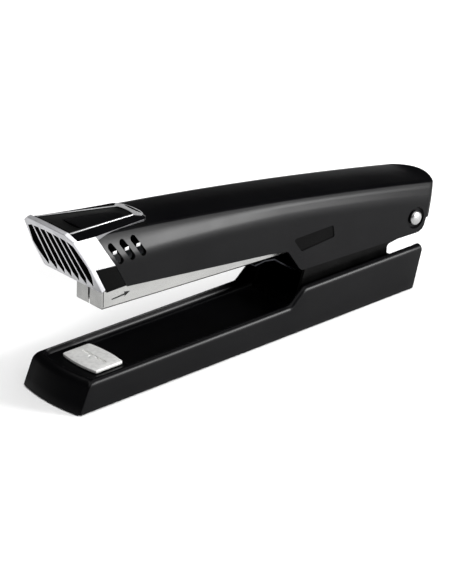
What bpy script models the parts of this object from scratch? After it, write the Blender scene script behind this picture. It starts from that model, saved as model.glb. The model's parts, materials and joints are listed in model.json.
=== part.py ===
# Full-strip desk stapler, open at rest, built as separate pieces on five bodies.
# Shapes are laid out in millimetres and scaled to metres as each mesh is made.
# +Y runs from the nose (low Y) to the hinge, +X is the right side, Z = 0 is the table.
import math

import bmesh
import bpy
import numpy as np
from mathutils import Matrix, Vector

MM = 0.001
GAP = 0.3  # clearance between pieces that touch

# Hinge that joins base, magazine and handle
PIVOT_Y, PIVOT_Z = 76.8, 28.8
PIN_R = 2.2
PIN_HOLE_R = PIN_R + GAP
MAGAZINE_TILT = math.radians(-2.55)  # nose-up pitch of the open magazine

# Base
BASE_HALF = 16.7
BASE_FRONT, BASE_REAR = -93.9, 74.0
RIM_FRONT_Z, RIM_REAR_Z = 12.3, 18.0
RAMP_START, RAMP_END = 9.2, 17.4
TRAY_HALF = 14.8
TRAY_FRONT, TRAY_REAR = -85.0, 84.0  # the tray runs out of the rear end
TRAY_Z, PLATEAU_Z = 8.8, 10.1
FLOOR_THICK = 2.0
ANVIL_Y = -72.6
ANVIL_TOP = 11.6
ANVIL_THICK = 1.2
EDGE_Z = 0.4  # lower edge of the base shell, just clear of the table
SOLE_Z = 2.0  # underside of the closing plate

# Bracket that rises from the base and carries the hinge pin
EAR_IN, EAR_OUT = 10.9, 12.1
RIVET_X = 4.2
LEAF_THICK = 0.5

# Magazine, in its own frame: origin on the hinge axis, floor along Y
MAG_HALF, MAG_WALL = 7.4, 0.6
MAG_FRONT = -150.6
MAG_LOW, MAG_HIGH = -2.3, 9.2
RAIL_HALF = 5.4
RAIL_FRONT = -147.2
STAPLE_HALF = 6.5
STRIP_FRONT, STRIP_REAR = -148.0, -98.6
PUSHER_LONG = 10.0
ROD_R, ROD_Z = 1.1, 2.0
BLOCK_FRONT, BLOCK_REAR = -16.0, -10.0

# Handle
SHELL_WALL = 1.6
SEAM_TOP = (-80.0, 65.6)  # slanted seam between nose cap and shell, as (y, z)
SEAM_LOW = (-68.9, 44.2)
SHELL_LOW = 15.0  # sections run down to here and are trimmed to the lower edge
REAR_Y, REAR_BULGE, REAR_LEAN = 87.8, 4.7, 0.19
CAP_LOW = 44.7
FACE_TOP = (-92.0, 68.6)  # slanted front face of the nose
FACE_LOW = (-80.4, 44.7)
GRILLE_THICK = 1.8
PAD_TOP_FRONT, PAD_TOP_REAR = (-92.5, 68.6), (-52.3, 64.3)
PAD_FLOOR, FLOOR_LIP = 4.0, 1.6  # depth of the floor under the pad, and its width past the pad
SLOT_COUNT = 7
WINDOW_Y = (-73.0, -67.6, -62.4)
WINDOW_Z = 57.8


# ---------------------------------------------------------------- scene and materials
def clear_scene():
    for obj in list(bpy.data.objects):
        bpy.data.objects.remove(obj, do_unlink=True)


def new_collection(name):
    collection = bpy.data.collections.new(name)
    bpy.context.scene.collection.children.link(collection)
    return collection


def new_material(name, colour, roughness, metallic):
    material = bpy.data.materials.new(name)
    material.use_nodes = True
    shader = material.node_tree.nodes["Principled BSDF"]
    shader.inputs["Base Color"].default_value = (*colour, 1.0)
    shader.inputs["Roughness"].default_value = roughness
    shader.inputs["Metallic"].default_value = metallic
    return material


FINISHES = {
    "satin_black": ((0.012, 0.012, 0.013), 0.38, 0.0),
    "gloss_black": ((0.006, 0.006, 0.007), 0.08, 0.0),
    "black_steel": ((0.015, 0.015, 0.016), 0.35, 0.6),
    "rubber": ((0.02, 0.02, 0.02), 0.8, 0.0),
    "grip": ((0.015, 0.015, 0.016), 0.55, 0.0),
    "nickel": ((0.72, 0.72, 0.71), 0.2, 1.0),
    "zinc": ((0.55, 0.56, 0.58), 0.35, 1.0),
    "spring_steel": ((0.4, 0.4, 0.41), 0.3, 1.0),
    "satin_silver": ((0.42, 0.42, 0.44), 0.32, 0.8),
    "chrome": ((0.8, 0.8, 0.8), 0.08, 1.0),
    "nylon": ((0.7, 0.7, 0.66), 0.5, 0.0),
}


# ---------------------------------------------------------------- shape helpers
def rounded(points, steps=4):
    """Outline with round corners; each point is (a, b) or (a, b, radius)."""
    outline = []
    count = len(points)
    for i, point in enumerate(points):
        corner = Vector(point[:2])
        radius = point[2] if len(point) > 2 else 0.0
        if radius == 0.0:
            outline.append(tuple(corner))
            continue
        before = (Vector(points[i - 1][:2]) - corner).normalized()
        after = (Vector(points[(i + 1) % count][:2]) - corner).normalized()
        half = before.angle(after) / 2
        reach = radius / math.tan(half)
        centre = corner + (before + after).normalized() * (radius / math.sin(half))
        start = corner + before * reach - centre
        sweep = (corner + after * reach - centre).angle_signed(start)
        for k in range(steps + 1):
            turn = Matrix.Rotation(sweep * k / steps, 2)
            outline.append(tuple(centre + turn @ start))
    return outline


def arc(centre, radius, start, end, steps):
    """Points on a circle, angles in degrees."""
    angles = [math.radians(start + (end - start) * k / steps) for k in range(steps + 1)]
    return [(centre[0] + radius * math.cos(a), centre[1] + radius * math.sin(a)) for a in angles]


def to_mesh(name, bm):
    mesh = bpy.data.meshes.new(name)
    bm.to_mesh(mesh)
    bm.free()
    return mesh


def place(name, mesh, parent, finish=None):
    """Make an object in its body's frame; with no finish it is a cutter."""
    obj = bpy.data.objects.new(name, mesh)
    obj.parent = parent
    if finish is None:
        CUTTERS.objects.link(obj)
        obj.hide_render = True
        obj.display_type = "WIRE"
    else:
        PARTS.objects.link(obj)
        mesh.materials.append(MATERIALS[finish])
    return obj


def box(name, low, high, parent, finish=None):
    low, high = Vector(low) * MM, Vector(high) * MM
    bm = bmesh.new()
    size = Matrix.Diagonal((*(high - low), 1.0))
    bmesh.ops.create_cube(bm, size=1.0, matrix=Matrix.Translation((low + high) / 2) @ size)
    return place(name, to_mesh(name, bm), parent, finish)


AXIS_TURN = {
    "X": Matrix.Rotation(math.pi / 2, 4, "Y"),
    "Y": Matrix.Rotation(-math.pi / 2, 4, "X"),
    "Z": Matrix.Identity(4),
}


def cylinder(name, centre, radius, length, axis, parent, finish=None, segments=24):
    """Cylinder about its centre."""
    bm = bmesh.new()
    matrix = Matrix.Translation(Vector(centre) * MM) @ AXIS_TURN[axis]
    bmesh.ops.create_cone(bm, cap_ends=True, segments=segments, radius1=radius * MM,
                          radius2=radius * MM, depth=length * MM, matrix=matrix)
    mesh = to_mesh(name, bm)
    obj = place(name, mesh, parent, finish)
    smooth(mesh)
    return obj


def smooth(mesh, angle=40.0):
    mesh.shade_smooth()
    mesh.set_sharp_from_angle(angle=math.radians(angle))


# Columns take a flat outline's two directions and its thickness to the body's axes.
PLANES = {
    "YZ": Matrix(((0, 0, 1, 0), (1, 0, 0, 0), (0, 1, 0, 0), (0, 0, 0, 1))),
    "XY": Matrix.Identity(4),
    "XZ": Matrix(((1, 0, 0, 0), (0, 0, -1, 0), (0, 1, 0, 0), (0, 0, 0, 1))),
}


def extruded(name, outline, low, high, plane, parent, finish=None, turn=None):
    """Flat outline given a thickness from low to high along the plane's normal."""
    curve = bpy.data.curves.new(name, "CURVE")
    curve.dimensions = "2D"
    curve.fill_mode = "BOTH"
    curve.extrude = (high - low) / 2 * MM
    spline = curve.splines.new("POLY")
    spline.points.add(len(outline) - 1)
    for point, (a, b) in zip(spline.points, outline):
        point.co = (a * MM, b * MM, 0.0, 1.0)
    spline.use_cyclic_u = True
    holder = bpy.data.objects.new(name + "_curve", curve)
    bpy.context.scene.collection.objects.link(holder)
    mesh = mesh_of(holder, name)
    bpy.data.objects.remove(holder, do_unlink=True)
    mesh.transform(PLANES[plane] @ Matrix.Translation((0, 0, (low + high) / 2 * MM)))
    if turn is not None:
        mesh.transform(turn)
    return place(name, mesh, parent, finish)


def mesh_of(holder, name):
    """Closed mesh of a curve object, its caps welded to its sides."""
    bpy.context.view_layer.update()
    evaluated = holder.evaluated_get(bpy.context.evaluated_depsgraph_get())
    mesh = bpy.data.meshes.new_from_object(evaluated)
    mesh.name = name
    bm = bmesh.new()
    bm.from_mesh(mesh)
    bmesh.ops.remove_doubles(bm, verts=bm.verts, dist=0.001 * MM)
    bmesh.ops.recalc_face_normals(bm, faces=bm.faces)
    bm.to_mesh(mesh)
    bm.free()
    return mesh


def wire(name, points, radius, parent, finish, resolution=2):
    """Round wire along points; its mesh is closed and capped."""
    curve = bpy.data.curves.new(name, "CURVE")
    curve.dimensions = "3D"
    curve.bevel_depth = radius * MM
    curve.bevel_resolution = resolution
    curve.use_fill_caps = True
    spline = curve.splines.new("POLY")
    spline.points.add(len(points) - 1)
    for point, co in zip(spline.points, points):
        point.co = (*(Vector(co) * MM), 1.0)
    holder = bpy.data.objects.new(name + "_curve", curve)
    bpy.context.scene.collection.objects.link(holder)
    mesh = mesh_of(holder, name)
    bpy.data.objects.remove(holder, do_unlink=True)
    smooth(mesh)
    return place(name, mesh, parent, finish)


def turned(name, profile, axis, centre, parent, finish, steps=24):
    """Turned piece: profile (radius, along), from its top outer side down, given to a Screw."""
    bm = bmesh.new()
    points = [bm.verts.new((r * MM, 0.0, h * MM)) for r, h in profile]
    for a, b in zip(points, points[1:]):
        bm.edges.new((a, b))
    mesh = to_mesh(name, bm)
    obj = place(name, mesh, parent, finish)
    obj.matrix_local = Matrix.Translation(Vector(centre) * MM) @ AXIS_TURN[axis]
    screw = obj.modifiers.new("turn", "SCREW")
    screw.steps = steps
    screw.render_steps = steps
    screw.use_merge_vertices = True
    screw.merge_threshold = 0.01 * MM
    screw.use_smooth_shade = True
    return obj


def combine(obj, tools, operation="DIFFERENCE"):
    for tool in tools:
        modifier = obj.modifiers.new(tool.name, "BOOLEAN")
        modifier.operation = operation
        modifier.solver = "EXACT"
        modifier.object = tool
    return obj


def skin(rows, close=False):
    """Quads between rows of points; close joins each row's ends and caps first and last row."""
    bm = bmesh.new()
    verts = [[bm.verts.new(Vector(p) * MM) for p in row] for row in rows]
    for a, b in zip(verts, verts[1:]):
        count = len(a)
        for i in range(count if close else count - 1):
            j = (i + 1) % count
            bm.faces.new((a[i], a[j], b[j], b[i]))
    if close:
        bm.faces.new(verts[0])
        bm.faces.new(verts[-1])
    bmesh.ops.remove_doubles(bm, verts=bm.verts, dist=0.001 * MM)
    bmesh.ops.recalc_face_normals(bm, faces=bm.faces)
    return bm


def both_sides(half):
    """Closed section from a half section that runs from the middle outwards and down."""
    return half + [(-x, y, z) for x, y, z in reversed(half) if x > 0]


# ---------------------------------------------------------------- handle and nose sections
def top_height(y):
    return 55.2 - 0.146 * y - 0.00027 * y * y


def band_height(y):
    return 48.9 - 0.125 * y - 0.00055 * y * y


def shell_half(y):
    return float(np.interp(y, (-95, -70, 10, 90), (16.8, 16.2, 14.5, 14.3)))


CREASE_HALF = 11.0


def shell_section(y, grow=0.0):
    """Half section of the handle: crowned top, sloping band, upright side."""
    top, band, side, crease = top_height(y), band_height(y), shell_half(y), CREASE_HALF
    half = [(0.0, top + 0.6), (0.55 * crease, top + 0.45), (crease - 1.2, top + 0.15), (crease, top - 0.2),
            (crease + 0.6, top - 1.1), (0.45 * crease + 0.55 * side + 0.35, 0.45 * top + 0.55 * band),
            (side - 0.35, band + 1.6), (side, band - 1.2), (side, SHELL_LOW)]
    return [(x + (grow if x > 0 else 0.0), z + grow) for x, z in half]


def seam_y(z):
    (y0, z0), (y1, z1) = SEAM_TOP, SEAM_LOW
    return y0 + (z - z0) * (y1 - y0) / (z1 - z0)


def slanted_row(section, offset):
    """A section's points moved along Y onto the seam plane, offset behind it."""
    row = []
    for k in range(len(section(SEAM_TOP[0]))):
        y = SEAM_TOP[0]
        for _ in range(3):
            x, z = section(y)[k]
            y = seam_y(z) + offset
        row.append((x, y, z))
    return row


def face_y(z):
    (y0, z0), (y1, z1) = FACE_TOP, FACE_LOW
    return y0 + (z - z0) * (y1 - y0) / (z1 - z0)


def rim_height(y):
    (y0, z0), (y1, z1) = PAD_TOP_FRONT, PAD_TOP_REAR
    return z0 + (y - y0) * (z1 - z0) / (y1 - y0)


def cap_section(y, inset=0.0, roof=0.0):
    """Half section of the nose cap: raised rim, sloping edge, side facet, upright side."""
    edge = float(np.interp(y, (-97, -90.7, -80, -56, -54, -52.6, -51.4), (14.6, 13.9, 13.0, 9.1, 7.4, 5.0, 2.0)))
    edge_z = float(np.interp(y, (-97, -90.7, -80, -51.4), (67.2, 66.5, 65.5, 63.4)))
    rim = max(edge - 3.4, 0.6)
    side = float(np.interp(y, (-97, -70, -51.4), (16.9, 16.3, 15.6)))
    side_z = 54.8 - 0.09 * (y + 84.6)
    half = [(0.0, rim_height(y) - roof), (rim - inset, rim_height(y) - roof), (edge - inset, edge_z - roof * 0.8),
            (side - inset, side_z - inset * 0.3), (side - inset, 30.0)]
    return half


# ---------------------------------------------------------------- base
def base_profile():
    return rounded([
        (BASE_FRONT, EDGE_Z), (BASE_FRONT + 5.6, RIM_FRONT_Z, 3.0), (RAMP_START, RIM_FRONT_Z, 5.0),
        (RAMP_END, RIM_REAR_Z, 4.0), (BASE_REAR + 5.6, RIM_REAR_Z, 1.2), (BASE_REAR, EDGE_Z, 2.5)], 5)


def base_row(x):
    """Side profile of the base at x; its front is bowed forwards."""
    bow = 1.9 * (x / BASE_HALF) ** 2
    return [(x, y + bow * min(1.0, max(0.0, (-70.0 - y) / 15.0)), z) for y, z in base_profile()]


def build_base(body):
    rows = [base_row(x) for x in np.linspace(-BASE_HALF, BASE_HALF, 9)]
    shell = place("base_shell", to_mesh("base_shell", skin(rows, close=True)), body, "satin_black")

    tray_outline = [(TRAY_FRONT - 3, RIM_FRONT_Z + 20), (TRAY_FRONT, PLATEAU_Z + 1.2), (TRAY_FRONT + 1.2, PLATEAU_Z),
                    (ANVIL_Y + 8.2, PLATEAU_Z), (ANVIL_Y + 9.6, TRAY_Z), (TRAY_REAR, TRAY_Z), (TRAY_REAR, 40.0)]
    tray = extruded("cut_tray", tray_outline, -TRAY_HALF, TRAY_HALF, "YZ", body)
    tray_plan = rounded([(-TRAY_HALF, TRAY_FRONT, 5.0), (TRAY_HALF, TRAY_FRONT, 5.0),
                         (TRAY_HALF, TRAY_REAR, 2.0), (-TRAY_HALF, TRAY_REAR, 2.0)], 4)
    combine(tray, [extruded("cut_tray_plan", tray_plan, 5.0, 45.0, "XY", body)], "INTERSECT")

    hollow_top = TRAY_Z - FLOOR_THICK
    hollow_plan = rounded([(-14.7, -88.0, 4.0), (14.7, -88.0, 4.0), (14.7, 72.0, 3.0), (-14.7, 72.0, 3.0)], 3)
    hollow = extruded("cut_hollow", hollow_plan, -2.0, hollow_top, "XY", body)
    screw_places = [(x, y) for y in (-38.0, 66.5) for x in (-11.0, 11.0)]
    bosses, boss_holes = [], []
    for i, (x, y) in enumerate(screw_places, 1):
        bosses.append(cylinder(f"add_boss_{i}", (x, y, 5.4), 2.8, 3.9, "Z", body, segments=16))
        boss_holes.append(cylinder(f"cut_boss_{i}", (x, y, 4.5), 1.3, 7.0, "Z", body, segments=12))
    rivet_places = [(x, y) for y in (28.0, 54.0) for x in (-RIVET_X, RIVET_X)]
    rivet_holes = [cylinder(f"cut_rivet_{i}", (x, y, 8.0), 1.5 + GAP, 8.0, "Z", body, segments=12)
                   for i, (x, y) in enumerate(rivet_places, 1)]
    stud_hole = cylinder("cut_stud", (0, ANVIL_Y, 8.0), 2.0 + GAP, 9.0, "Z", body, segments=20)
    combine(shell, [tray, hollow])
    combine(shell, bosses, "UNION")
    combine(shell, boss_holes + rivet_holes + [stud_hole])

    # closing plate, feet and screws under the hollow
    sole = rounded([(-14.3, -87.5, 3.7), (14.3, -87.5, 3.7), (14.3, 71.5, 2.7), (-14.3, 71.5, 2.7)], 3)
    plate = extruded("base_bottom_plate", sole, SOLE_Z, SOLE_Z + 1.2, "XY", body, "zinc")
    plate_holes = []
    for i, (x, y) in enumerate(screw_places, 1):
        plate_holes.append(cylinder(f"cut_sole_{i}", (x, y, SOLE_Z), 1.5, 6.0, "Z", body, segments=12))
        profile = [(0.0, 7.3), (1.0, 7.3), (1.0, 1.7), (2.5, 1.7), (2.2, 0.7), (0.0, 0.7)]
        turned(f"bottom_screw_{i}", profile, "Z", (x, y, 0.0), body, "zinc", 12)
    combine(plate, plate_holes)
    for name, low, high in (("foot_pad_front", -84.0, -46.0), ("foot_pad_rear", 22.0, 60.0)):
        pad = rounded([(-11.5, low, 3.0), (11.5, low, 3.0), (11.5, high, 3.0), (-11.5, high, 3.0)], 3)
        extruded(name, pad, 0.0, SOLE_Z - GAP, "XY", body, "rubber")

    # hinge bracket: a web on the tray floor and two ears that hook back to the pin
    web_low, web_high = TRAY_Z + GAP, TRAY_Z + GAP + 1.2
    ear_outline = rounded([
        (15.0, web_low), (60.0, web_low), (63.6, 16.6, 1.5), (63.6, 20.6, 1.6), (78.0, 22.4), (81.2, 24.0),
        (82.9, 28.8), (81.2, 33.3), (76.8, 34.9), (70.0, 33.6, 6.0), (22.0, 27.2, 2.0), (18.4, 17.0, 2.0)], 4)
    bracket = extruded("hinge_bracket", ear_outline, -EAR_OUT, EAR_OUT, "YZ", body, "black_steel")
    inner = box("cut_bracket", (-EAR_IN, 0.0, web_high), (EAR_IN, 90.0, 50.0), body)
    bracket_pin = cylinder("cut_bracket_pin", (0, PIVOT_Y, PIVOT_Z), PIN_HOLE_R, 40.0, "X", body)
    bracket_holes = [cylinder(f"cut_web_{i}", (x, y, web_low), 1.5 + GAP, 6.0, "Z", body, segments=12)
                     for i, (x, y) in enumerate(rivet_places, 1)]
    combine(bracket, [inner, bracket_pin] + bracket_holes)
    leaf_low = web_high + GAP
    for i, (x, y) in enumerate(rivet_places, 1):
        head, foot = leaf_low, hollow_top - GAP
        if y > 50:
            head += LEAF_THICK + GAP
        profile = [(0.0, head + 0.9), (1.6, head + 0.6), (2.6, head), (1.5, head), (1.5, foot),
                   (2.6, foot), (1.8, foot - 0.8), (0.0, foot - 0.8)]
        turned(f"bracket_rivet_{i}", profile, "Z", (x, y, 0.0), body, "black_steel", 12)

    # leaf spring that holds the magazine up
    leaf = [(58.0, leaf_low), (44.0, leaf_low), (33.0, 13.0), (20.0, 20.5), (10.0, 27.9), (5.0, 28.7), (0.0, 28.2)]
    spring = extruded("lift_spring", leaf + [(y, z + LEAF_THICK) for y, z in reversed(leaf)], -6.6, 6.6, "YZ", body,
                      "spring_steel")
    combine(spring, [cylinder(f"cut_leaf_{i}", (x, y, leaf_low), 1.5 + GAP, 4.0, "Z", body, segments=12)
                     for i, (x, y) in enumerate(rivet_places[2:], 3)])

    # anvil spring and its retaining clip, under the floor of the tray
    turned("anvil_spring", [(3.0, 6.4), (5.2, 5.4), (5.2, 5.0), (3.0, 6.0), (3.0, 6.4)], "Z", (0, ANVIL_Y, 0), body,
           "spring_steel", 20)


def build_anvil(body):
    """Turning anvil; its frame stands on the stud's axis at table height."""
    half_x, half_y = 9.8, 6.2
    curve = [(x, -half_y - 0.9 * (1 - (x / half_x) ** 2)) for x in np.linspace(-half_x + 0.8, half_x - 0.8, 9)]
    sides = [(half_x, -half_y + 0.9), (half_x, half_y - 0.9)]
    outline = curve + sides + [(-x, -y) for x, y in curve] + [(-x, -y) for x, y in sides]
    low = ANVIL_TOP - ANVIL_THICK
    plate = extruded("anvil_plate", outline, low, ANVIL_TOP, "XY", body, "nickel")
    grooves = []
    for row, y in (("front", -2.6), ("rear", 1.2)):
        for side, x in (("left", -4.0), ("right", 4.0)):
            grooves.append(box(f"cut_groove_{row}_{side}", (x - 2.9, y, ANVIL_TOP - 0.5),
                               (x + 2.9, y + 1.4, ANVIL_TOP + 1.0), body))
    stud_hole = cylinder("cut_anvil_stud", (0, 0, ANVIL_TOP), 1.6 + GAP, 6.0, "Z", body, segments=20)
    combine(plate, grooves + [stud_hole])
    profile = [(0.0, ANVIL_TOP - 0.1), (1.6, ANVIL_TOP - 0.1), (1.6, low - GAP), (2.0, low - GAP), (2.0, 3.9),
               (1.4, 3.9), (1.4, 3.5), (0.0, 3.5)]
    turned("anvil_stud", profile, "Z", (0, 0, 0), body, "nickel", 20)
    turned("anvil_retainer", [(2.3, 4.7), (4.6, 4.7), (4.6, 4.1), (2.3, 4.1), (2.3, 4.7)], "Z", (0, 0, 0), body,
           "spring_steel", 20)


# ---------------------------------------------------------------- magazine
def build_magazine(body):
    side = [(MAG_FRONT, MAG_LOW), (-3.5, MAG_LOW)] + arc((0, 0), 5.6, -60, 90, 8) + [(-14.0, MAG_HIGH),
                                                                                      (MAG_FRONT, MAG_HIGH)]
    channel = extruded("magazine_channel", side, -MAG_HALF, MAG_HALF, "YZ", body, "nickel")
    inner = MAG_HALF - MAG_WALL
    floor = MAG_LOW + MAG_WALL
    tools = [
        box("cut_channel", (-inner, MAG_FRONT + MAG_WALL, floor), (inner, 20.0, 30.0), body),
        box("cut_channel_rear", (-inner, -9.0, -20.0), (inner, 20.0, 20.0), body),
        box("cut_staple_exit", (-inner, MAG_FRONT + MAG_WALL, MAG_LOW - 3), (inner, RAIL_FRONT - 0.6, floor + 1), body),
        box("cut_front_slit", (-0.45, MAG_FRONT - 2, MAG_LOW - 3), (0.45, MAG_FRONT + 1.6, 5.5), body),
        cylinder("cut_channel_pin", (0, 0, 0), PIN_HOLE_R, 30.0, "X", body),
    ]
    combine(channel, tools)

    rail_low, rail_wall = floor + GAP, 0.7
    rail_outline = [(-RAIL_HALF, rail_low), (RAIL_HALF, rail_low), (RAIL_HALF, 5.2), (RAIL_HALF - rail_wall, 5.2),
                    (RAIL_HALF - rail_wall, rail_low + rail_wall), (rail_wall - RAIL_HALF, rail_low + rail_wall),
                    (rail_wall - RAIL_HALF, 5.2), (-RAIL_HALF, 5.2)]
    extruded("staple_rail", rail_outline, -BLOCK_REAR, -RAIL_FRONT, "XZ", body, "zinc")

    leg, crown = STAPLE_HALF - 0.7, 0.6
    strip_top = 6.2
    strip = [(-STAPLE_HALF, 0.2), (-leg, 0.2), (-leg, strip_top - crown), (leg, strip_top - crown), (leg, 0.2),
             (STAPLE_HALF, 0.2), (STAPLE_HALF, strip_top), (-STAPLE_HALF, strip_top)]
    extruded("staple_strip", strip, -STRIP_REAR, -STRIP_FRONT, "XZ", body, "zinc")

    rod_front, rod_rear = RAIL_FRONT + 0.8, BLOCK_REAR + 1.0
    cylinder("pusher_rod", (0, (rod_front + rod_rear) / 2, ROD_Z), ROD_R, rod_rear - rod_front, "Y", body,
             "spring_steel", 16)
    block_half = RAIL_HALF - rail_wall - GAP
    block = box("magazine_end_block", (-block_half, BLOCK_FRONT, rail_low + rail_wall + GAP),
                (block_half, BLOCK_REAR - GAP, 6.0), body, "nylon")
    combine(block, [cylinder("cut_block_rod", (0, BLOCK_FRONT, ROD_Z), ROD_R + GAP, 30.0, "Y", body, segments=16)])
    spacer_half = inner - GAP
    turned("pivot_spacer", [(PIN_HOLE_R, spacer_half), (4.0, spacer_half), (4.0, -spacer_half),
                            (PIN_HOLE_R, -spacer_half), (PIN_HOLE_R, spacer_half)], "X", (0, 0, 0), body, "nylon")

    spring_front, spring_rear = STRIP_REAR + GAP + PUSHER_LONG + GAP + 0.3, BLOCK_FRONT - GAP - 0.3
    turns, per_turn, coil_r = 17, 9, 1.95
    helix = []
    for k in range(turns * per_turn + 1):
        angle = 2 * math.pi * k / per_turn
        y = spring_front + (spring_rear - spring_front) * k / (turns * per_turn)
        helix.append((coil_r * math.cos(angle), y, ROD_Z + coil_r * math.sin(angle)))
    wire("pusher_spring", helix, 0.26, body, "spring_steel", 1)


def build_pusher(body):
    """Pusher saddle over the rail, in the magazine's frame."""
    front, rear = STRIP_REAR + GAP, STRIP_REAR + GAP + PUSHER_LONG
    pusher = box("staple_pusher", (-6.4, front, -0.3), (6.4, rear, 7.2), body, "black_steel")
    slots = [box(f"cut_pusher_{side}", (min(a, b), front - 2, -2.0), (max(a, b), rear + 2, 5.5), body)
             for side, a, b in (("left", -5.7, -4.4), ("right", 4.4, 5.7))]
    under = box("cut_pusher_under", (-4.4, front - 2, -2.0), (4.4, rear + 2, 0.2), body)
    bore = cylinder("cut_pusher_bore", (0, front, ROD_Z), ROD_R + GAP, 40.0, "Y", body, segments=16)
    combine(pusher, slots + [under, bore])


# ---------------------------------------------------------------- handle
def handle_skin():
    """Open outer surface of one half of the handle shell, with its bulged rear wall."""
    rows = [slanted_row(shell_section, -3.0)]
    for y in (-48, -38, -26, -13, 0, 13, 27, 41, 55, 68, 79):
        rows.append([(x, y, z) for x, z in shell_section(y)])
    last = [(x, rear_wall(x, z), z) for x, z in shell_section(REAR_Y)]
    rows.append(last)
    bm = skin(rows)
    crease = 3
    spread = [last[k][0] / last[crease][0] for k in range(crease, -1, -1)]
    wall = [[last[k] for k in range(crease, -1, -1)]]
    for x, _, z in last[crease + 1:]:
        wall.append([(f * x, rear_wall(f * x, z), z) for f in spread])
    patch = skin(wall)
    joined = bpy.data.meshes.new("rear_patch")
    patch.to_mesh(joined)
    patch.free()
    bm.from_mesh(joined)
    bpy.data.meshes.remove(joined)
    bmesh.ops.remove_doubles(bm, verts=bm.verts, dist=0.005 * MM)
    bmesh.ops.recalc_face_normals(bm, faces=bm.faces)
    if sum(face.normal.x for face in bm.faces) < 0:
        bmesh.ops.reverse_faces(bm, faces=bm.faces)
    return bm


def rear_wall(x, z):
    return REAR_Y + REAR_BULGE * (1 - (x / 12.0) ** 2) - REAR_LEAN * max(0.0, top_height(REAR_Y) - z)


def world_box(name, low, high, body):
    """Box given in table coordinates, made in the handle's frame."""
    return box(name, shift(low), shift(high), body)


def shift(point):
    return (point[0], point[1] - PIVOT_Y, point[2] - PIVOT_Z)


def shift_outline(points):
    return [(y - PIVOT_Y, z - PIVOT_Z) for y, z in points]


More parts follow.
